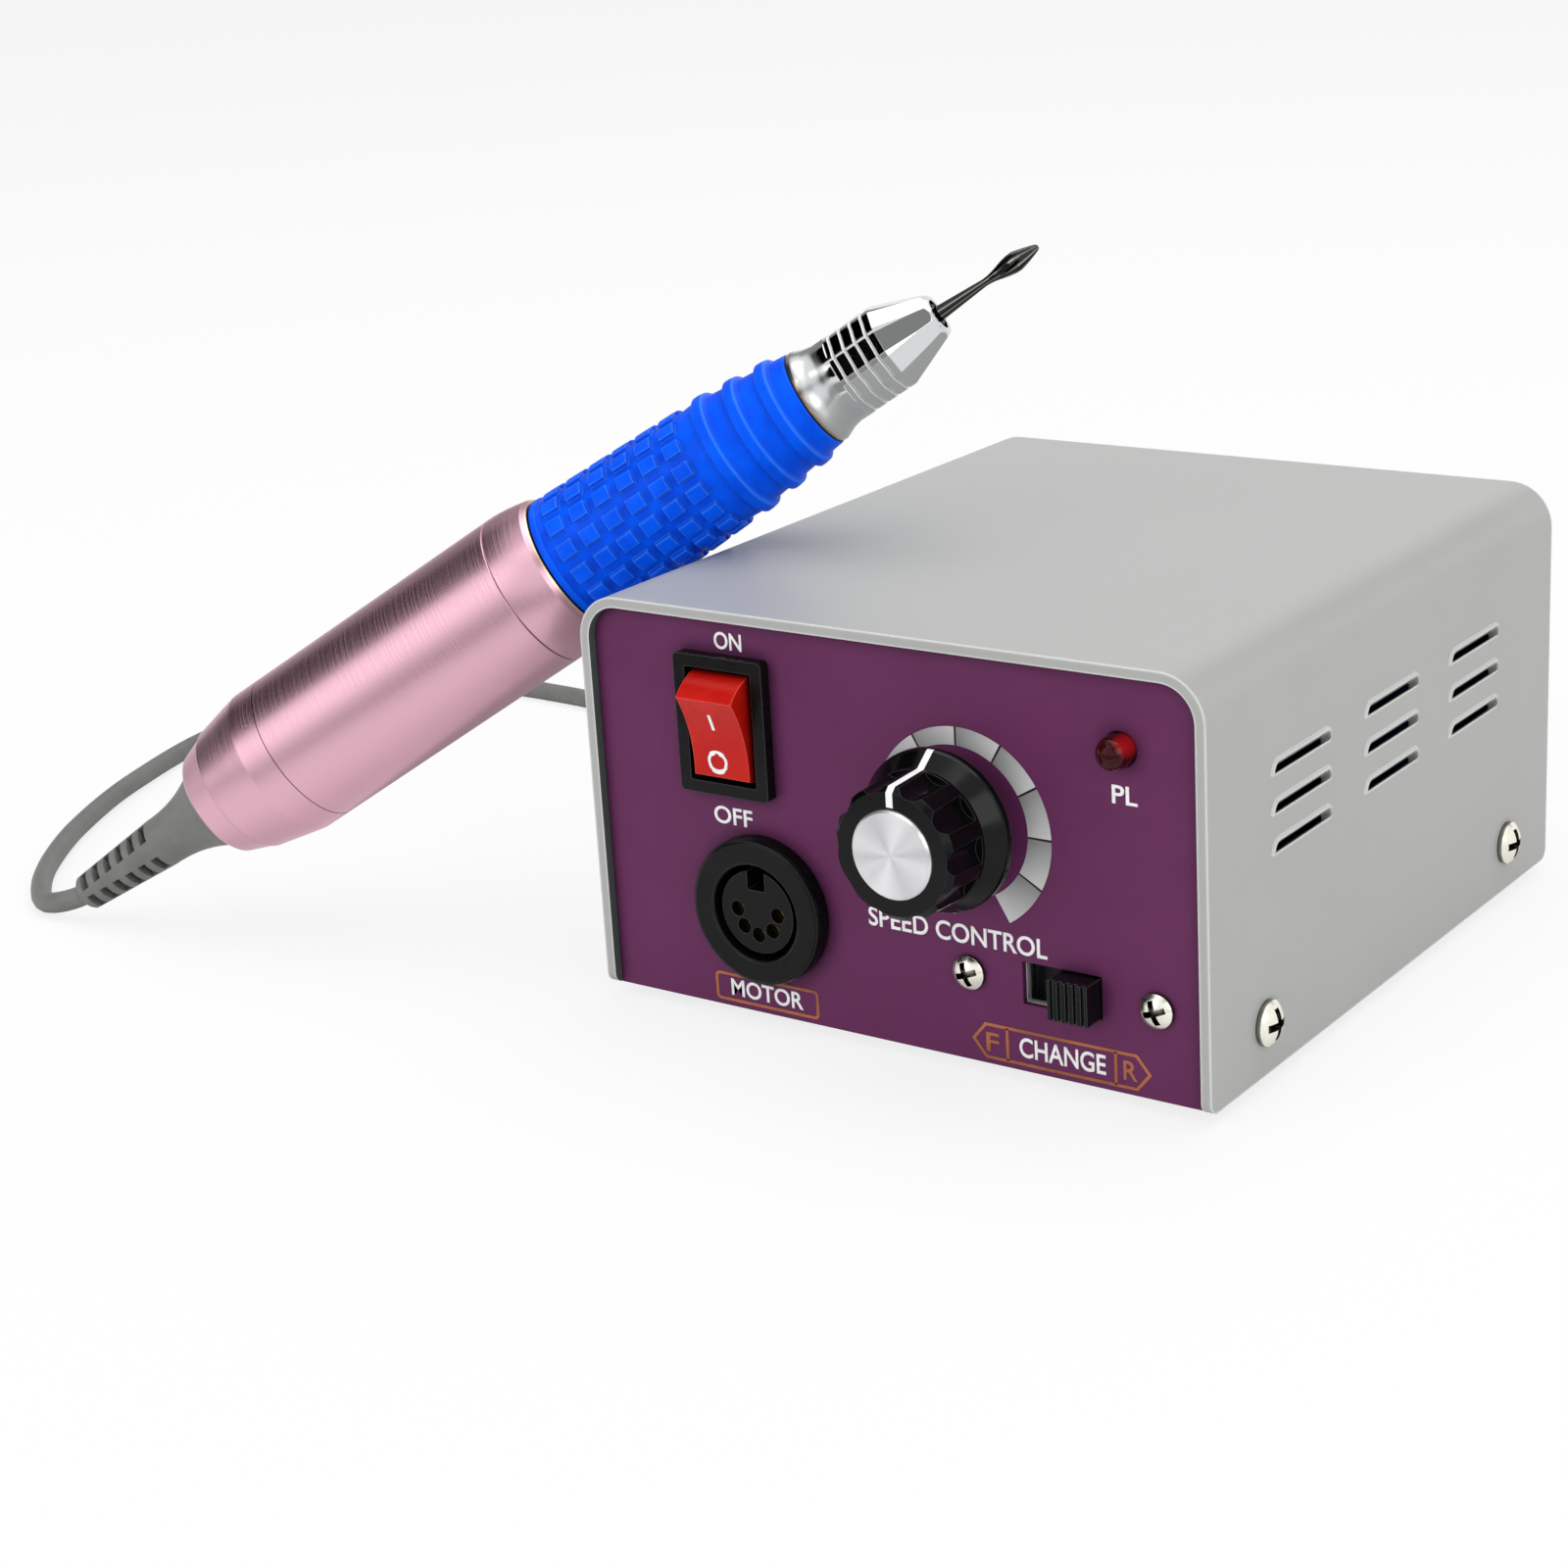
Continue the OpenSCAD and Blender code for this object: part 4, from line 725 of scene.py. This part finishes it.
def inlay(thing, name, aside, up):
    """Lay a flat mark on the rocker: wrap it onto the face, then give it its thickness."""
    thing.name = name
    above_face = on_panel(ROCKER_AT[0] + aside, ROCKER_AT[1] + up, MARK_OUT)
    thing.matrix_world = above_face @ Matrix.Rotation(ROCKER_TILT, 4, "X")
    bpy.ops.object.transform_apply(location=True, rotation=True, scale=True)
    wrap = thing.modifiers.new("wrap", "SHRINKWRAP")
    wrap.target = CAD["rocker"]
    wrap.wrap_method = "NEAREST_SURFACEPOINT"
    wrap.wrap_mode = "ABOVE_SURFACE"
    wrap.offset = MARK_PROUD * MM
    body = thing.modifiers.new("ink", "SOLIDIFY")
    body.thickness = INK * MM
    for modifier in ("wrap", "ink"):
        bpy.ops.object.modifier_apply(modifier=modifier)
    settle(thing, white_print, owner="rocker")


bpy.ops.object.select_all(action="DESELECT")
bpy.ops.mesh.primitive_plane_add(size=MM)
bar = bpy.context.object
bpy.ops.object.mode_set(mode="EDIT")
bpy.ops.transform.resize(value=(*I_SIZE, 1))
bpy.ops.mesh.subdivide(number_cuts=4)
bpy.ops.object.mode_set(mode="OBJECT")
inlay(bar, "rocker_mark_on", *I_PLACE)

bpy.ops.object.select_all(action="DESELECT")
bpy.ops.mesh.primitive_circle_add(vertices=40, radius=O_RADIUS * MM, fill_type="NGON")
ring = bpy.context.object
bpy.ops.object.mode_set(mode="EDIT")
bpy.ops.mesh.select_all(action="SELECT")
bpy.ops.transform.resize(value=(1, O_SQUASH, 1))
bpy.ops.mesh.inset(thickness=O_LINE * MM)
bpy.ops.mesh.delete(type="FACE")
bpy.ops.object.mode_set(mode="OBJECT")
inlay(ring, "rocker_mark_off", *O_PLACE)
print("rocker marks I and O inlaid")

# %% [markdown]
# ## Grip
# The grip is a moulded silicone sleeve: rows of square pads, then three ridges. First comes its profile, a list
# of stations along the axis with a radius at each.

# %% Stations of the grip
PADS_ROUND, PAD_ROWS, PAD_START, PAD_PITCH, PAD_GAP, PAD_H = 16, 6, 109, 4.5, 1.6, 0.8
PAD_R_REAR, PAD_R_FRONT = 11.5, 10.5
COLUMNS = 5 * PADS_ROUND
RIDGES, RIDGE_START, RIDGE_PITCH = 3, 137, 5.6
CREST_R, CREST_AT, CREST_SLOPE = 9.15, 152, 1.2 / 11
# One ridge: how far a station is from its middle, and how far it lies below the crest
RIDGE = ((-2.2, 0.8), (-1.3, 0.8), (-0.85, 0.05), (0, 0), (0.85, 0.05), (1.3, 0.8), (2.2, 0.8))
GRIP_REAR, GRIP_FRONT, GRIP_BORE = 107, 155, 8.05


def pad_floor(s):
    return PAD_R_REAR + (PAD_R_FRONT - PAD_R_REAR) * (s - PAD_START) / (PAD_ROWS * PAD_PITCH) - PAD_H


def crest(s):
    return CREST_R + CREST_SLOPE * (CREST_AT - s)


stations = [(GRIP_REAR, GRIP_BORE), (GRIP_REAR, 11.2), (GRIP_REAR + 0.25, 11.5), (GRIP_REAR + 1.3, 11.5),
            (GRIP_REAR + 1.6, 10.8)]
for i in range(PAD_ROWS):
    low = PAD_START + i * PAD_PITCH + PAD_GAP / 2
    stations += [(s, pad_floor(s)) for s in (low, low + PAD_PITCH - PAD_GAP)]
for i in range(RIDGES):
    middle = RIDGE_START + (i + 0.5) * RIDGE_PITCH
    stations += [(middle + off, crest(middle + off) - lower) for off, lower in RIDGE]
stations += [(GRIP_FRONT - 0.7, 8.1), (GRIP_FRONT - 0.2, 8.05), (GRIP_FRONT, 7.85), (GRIP_FRONT, 6.95)]
print(len(stations), "stations along the grip")

# %% [markdown]
# The sleeve starts as a ring of eighty points, five to each pad and its gap. The ring is extruded from station to
# station and resized each time.

# %% Grip sleeve
bpy.ops.object.select_all(action="DESELECT")
bpy.ops.mesh.primitive_circle_add(vertices=COLUMNS, radius=GRIP_BORE * MM, location=(0, 0, GRIP_REAR * MM))
grip = bpy.context.object
grip.name = "grip_sleeve"
bpy.ops.object.transform_apply(location=True)
bpy.ops.object.mode_set(mode="EDIT")
for (s0, r0), (s1, r1) in zip(stations, stations[1:]):
    bpy.ops.mesh.extrude_region_move(TRANSFORM_OT_translate={"value": (0, 0, (s1 - s0) * MM)})
    bpy.ops.transform.resize(value=(r1 / r0, r1 / r0, 1), center_override=(0, 0, s1 * MM))
bpy.ops.mesh.select_all(action="SELECT")
bpy.ops.mesh.normals_make_consistent(inside=False)

# %% [markdown]
# Three of every five columns, in six rows, are pads. Their faces are extruded outwards together, and a bevel
# softens every edge, as it is in a mould for rubber.

# %% Pads
SOFT_EDGE, SOFT_ANGLE, SMOOTH_ANGLE = 0.15, math.radians(35), math.radians(40)


def on_pad(middle):
    """Whether a face with this middle, in millimetres, belongs to a pad."""
    row = (middle.z - PAD_START) / PAD_PITCH
    column = math.degrees(math.atan2(middle.y, middle.x)) % 360 / 360 * COLUMNS
    along = (row % 1) * PAD_PITCH
    return 0 < row < PAD_ROWS and PAD_GAP / 2 < along < PAD_PITCH - PAD_GAP / 2 and column % 5 < 3


bpy.ops.mesh.select_mode(type="FACE")
bpy.ops.mesh.select_all(action="DESELECT")
bpy.ops.object.mode_set(mode="OBJECT")
for face in grip.data.polygons:
    face.select = on_pad(face.center / MM)
bpy.ops.object.mode_set(mode="EDIT")
bpy.ops.mesh.extrude_region_shrink_fatten(TRANSFORM_OT_shrink_fatten={"value": PAD_H * MM})
bpy.ops.object.mode_set(mode="OBJECT")
soft = grip.modifiers.new("soft", "BEVEL")
soft.width = SOFT_EDGE * MM
soft.segments = 3
soft.limit_method = "ANGLE"
soft.angle_limit = SOFT_ANGLE
bpy.ops.object.modifier_apply(modifier="soft")
bpy.ops.object.shade_smooth_by_angle(angle=SMOOTH_ANGLE)
settle(grip, silicone, HANDPIECE, "handpiece")
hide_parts("grip")
print("grip", len(grip.data.polygons), "faces")

# %% [markdown]
# The front shoulder of each ridge gets a painted highlight, a pale blue line. The shoulders repeat at the
# ridges' pitch, so the distance to the nearest one along the axis says where the painted lines lie.

# %% Painted highlights on the shoulders
SHOULDER_OFF, HIGHLIGHT_NEAR, HIGHLIGHT_FAR, HIGHLIGHT_SHARE = 0.85, 0.01, 0.055, 0.4
first_shoulder = RIDGE_START + 0.5 * RIDGE_PITCH + SHOULDER_OFF
tree, main, place = grip_parts
axis = add(tree, "Mapping", {"Location": TAIL, "Rotation": HANDPIECE_TURN}, {"Vector": place}, vector_type="TEXTURE")
station = add(tree, "SeparateXYZ", links={"Vector": axis.outputs["Vector"]}).outputs["Z"]
nearest, among = lines_along(tree, station, first_shoulder, RIDGE_PITCH, RIDGES)
fade = {"From Min": HIGHLIGHT_FAR, "From Max": HIGHLIGHT_NEAR, "To Max": HIGHLIGHT_SHARE}
line = add(tree, "MapRange", fade, {"Value": nearest})
painted_shoulder_highlight = add(tree, "Math", links={0: line.outputs["Result"], 1: among}, operation="MULTIPLY")
paint_over(tree, main, painted_shoulder_highlight.outputs["Value"], "#4a98ff")

# %% [markdown]
# ## Studio
# A white table and white surroundings. To the camera, to mirrors and to glass the surroundings are plain white.
# They light the object less than that, so that the lamps can model it. To the camera the table is mostly a glow,
# which keeps it pale, and for the rest it is lit paint, which keeps the shadow.

# %% Table and surroundings
TABLE_SIZE, FLOOR_GLOW, FLOOR_MIRRORED, WORLD_LIGHT = 8, 0.8, 0.2, 0.6
WHITE = (1, 1, 1, 1)


def by_ray(tree, camera, mirror):
    """One value for what the camera sees, one for what a mirror or glass sees, and 0 for light on the object."""
    path = add(tree, "LightPath")
    bounced = {0: path.outputs["Is Glossy Ray"], 1: path.outputs["Is Transmission Ray"]}
    either = add(tree, "Math", links=bounced, operation="MAXIMUM").outputs["Value"]
    seen = add(tree, "Math", {1: camera}, {0: path.outputs["Is Camera Ray"]}, operation="MULTIPLY").outputs["Value"]
    return add(tree, "Math", {1: mirror}, {0: either, 2: seen}, operation="MULTIPLY_ADD").outputs["Value"]


bpy.ops.object.select_all(action="DESELECT")
bpy.ops.mesh.primitive_plane_add(size=TABLE_SIZE)
table = bpy.context.object
table.name = "table"
white_table = bpy.data.materials.new("white_table")
white_table.use_nodes = True
tree = white_table.node_tree
paint = tree.nodes["Principled BSDF"]
paint.inputs["Base Color"].default_value = colour("#f2f2f2")
paint.inputs["Roughness"].default_value = 0.9
paint.inputs["Specular IOR Level"].default_value = 0.0
glow = add(tree, "Emission", {"Color": WHITE, "Strength": 1})
share = by_ray(tree, FLOOR_GLOW, FLOOR_MIRRORED)
mixed = add(tree, "MixShader", links={0: share, 1: paint.outputs["BSDF"], 2: glow.outputs["Emission"]})
tree.links.new(mixed.outputs["Shader"], tree.nodes["Material Output"].inputs["Surface"])
table.data.materials.append(white_table)

world = bpy.data.worlds.new("white_surroundings")
bpy.context.scene.world = world
world.use_nodes = True
tree = world.node_tree
strength = add(tree, "MapRange", {"To Min": WORLD_LIGHT, "To Max": 1}, {"Value": by_ray(tree, 1, 1)})
tree.nodes["Background"].inputs["Color"].default_value = WHITE
tree.links.new(strength.outputs["Result"], tree.nodes["Background"].inputs["Strength"])

# %% [markdown]
# Three large soft lamps model the object: one above, one in front on the left and one on the right. Mirrors don't
# see the left one, because a bright card stands for it there.

# %% Lamps
CENTRE = Vector((0, 0, 0.05))
LAMPS_AIM = Vector((0.01, -0.01, 0.05))


def aimed(place, target):
    """The place and turn of something that faces a target."""
    return Matrix.Translation(place) @ (target - place).to_track_quat("-Z", "Y").to_matrix().to_4x4()


def towards(azimuth, elevation, distance):
    """The place at these angles and this distance from the object."""
    return heading(azimuth, elevation) * distance + CENTRE


# Name, place, size in metres, and watts
LAMPS = [("softbox_top", Vector((0.1, 0.15, 1.3)), (1.3, 1.0), 8.0),
         ("softbox_left", towards(-24, 20, 1.4), (1.3, 0.9), 5.0),
         ("softbox_right", Vector((1.2, -0.5, 0.6)), (0.8, 0.8), 4.0)]
for name, place, size, watts in LAMPS:
    bpy.ops.object.light_add(type="AREA")
    lamp = bpy.context.object
    lamp.name = name
    lamp.matrix_world = aimed(place, LAMPS_AIM)
    lamp.data.shape = "RECTANGLE"
    lamp.data.size, lamp.data.size_y = size
    lamp.data.energy = watts
    lamp.visible_glossy = name != "softbox_left"

# %% [markdown]
# A photographer hangs cards round a shiny object, because metal only shows what it mirrors. These cards are seen
# by mirrors alone. Dark ones give the metal, the lens and the cover's bend their dark bands, the large bright
# one lights up the handpiece, and a tiny one puts a spark on the glossy plastic.

# %% Cards
NOSE = HANDPIECE @ Vector((0, 0, 166 * MM))
NOSE_NEAR = 0.06
UP = Vector((0, 0, 1))
TABLE_FRONT, TABLE_UNDER = Vector((-0.1, -0.68, 0.0005)), Vector((-0.0525, 0.015, 0.0005))
# Name, place, size in metres, what it faces, and its brightness
CARDS = [("card_bright", towards(-25, 20, 1.3), (0.86, 0.65), CENTRE, 1.6),
         ("card_left", towards(-74, 28, 1.2), (1.39, 1.02), CENTRE, 0.0),
         ("card_behind_left", towards(-119, 24, 1.25), (0.83, 0.87), CENTRE, 0.3),
         ("card_lens", towards(35, 41, 1.45), (0.5, 0.35), CENTRE, 0.3),
         ("card_table_front", TABLE_FRONT, (1.2, 1.0), TABLE_FRONT + UP, 0.35),
         # Painted shadow: a grey card on the table under the handpiece, where its shadow falls, darkens the table in
         # mirrors.
         ("card_painted_shadow", TABLE_UNDER, (0.095, 0.09), TABLE_UNDER + UP, 0.36),
         ("card_bend", towards(157, 35, 1.3), (0.7, 0.7), CENTRE, 0.0),
         ("card_spark", towards(-12, 50, 1.2), (0.1, 0.1), CENTRE, 10.0),
         ("card_nose_front", NOSE + NOSE_NEAR * Vector((-0.09, -0.95, 0.3)), (0.026, 0.022), NOSE, 0.0),
         ("card_nose_waist", NOSE + NOSE_NEAR * Vector((-0.45, -0.9, 0.0)), (0.024, 0.02), NOSE, 0.0)]
for name, place, size, target, shade in CARDS:
    bpy.ops.mesh.primitive_plane_add(size=1)
    card = bpy.context.object
    card.name = name
    card.matrix_world = aimed(place, target) @ Matrix.Diagonal((*size, 1, 1))
    board = bpy.data.materials.new(name)
    board.use_nodes = True
    tree = board.node_tree
    plain = add(tree, "Emission", {"Color": (shade, shade, shade, 1), "Strength": 1})
    tree.links.new(plain.outputs["Emission"], tree.nodes["Material Output"].inputs["Surface"])
    card.data.materials.append(board)
    card.visible_camera = card.visible_diffuse = card.visible_shadow = card.visible_transmission = False
print(len(LAMPS), "lamps and", len(CARDS), "cards")

# %% [markdown]
# ## View
# The picture keeps its plain colours.

# %% View
bpy.context.scene.view_settings.view_transform = "Standard"
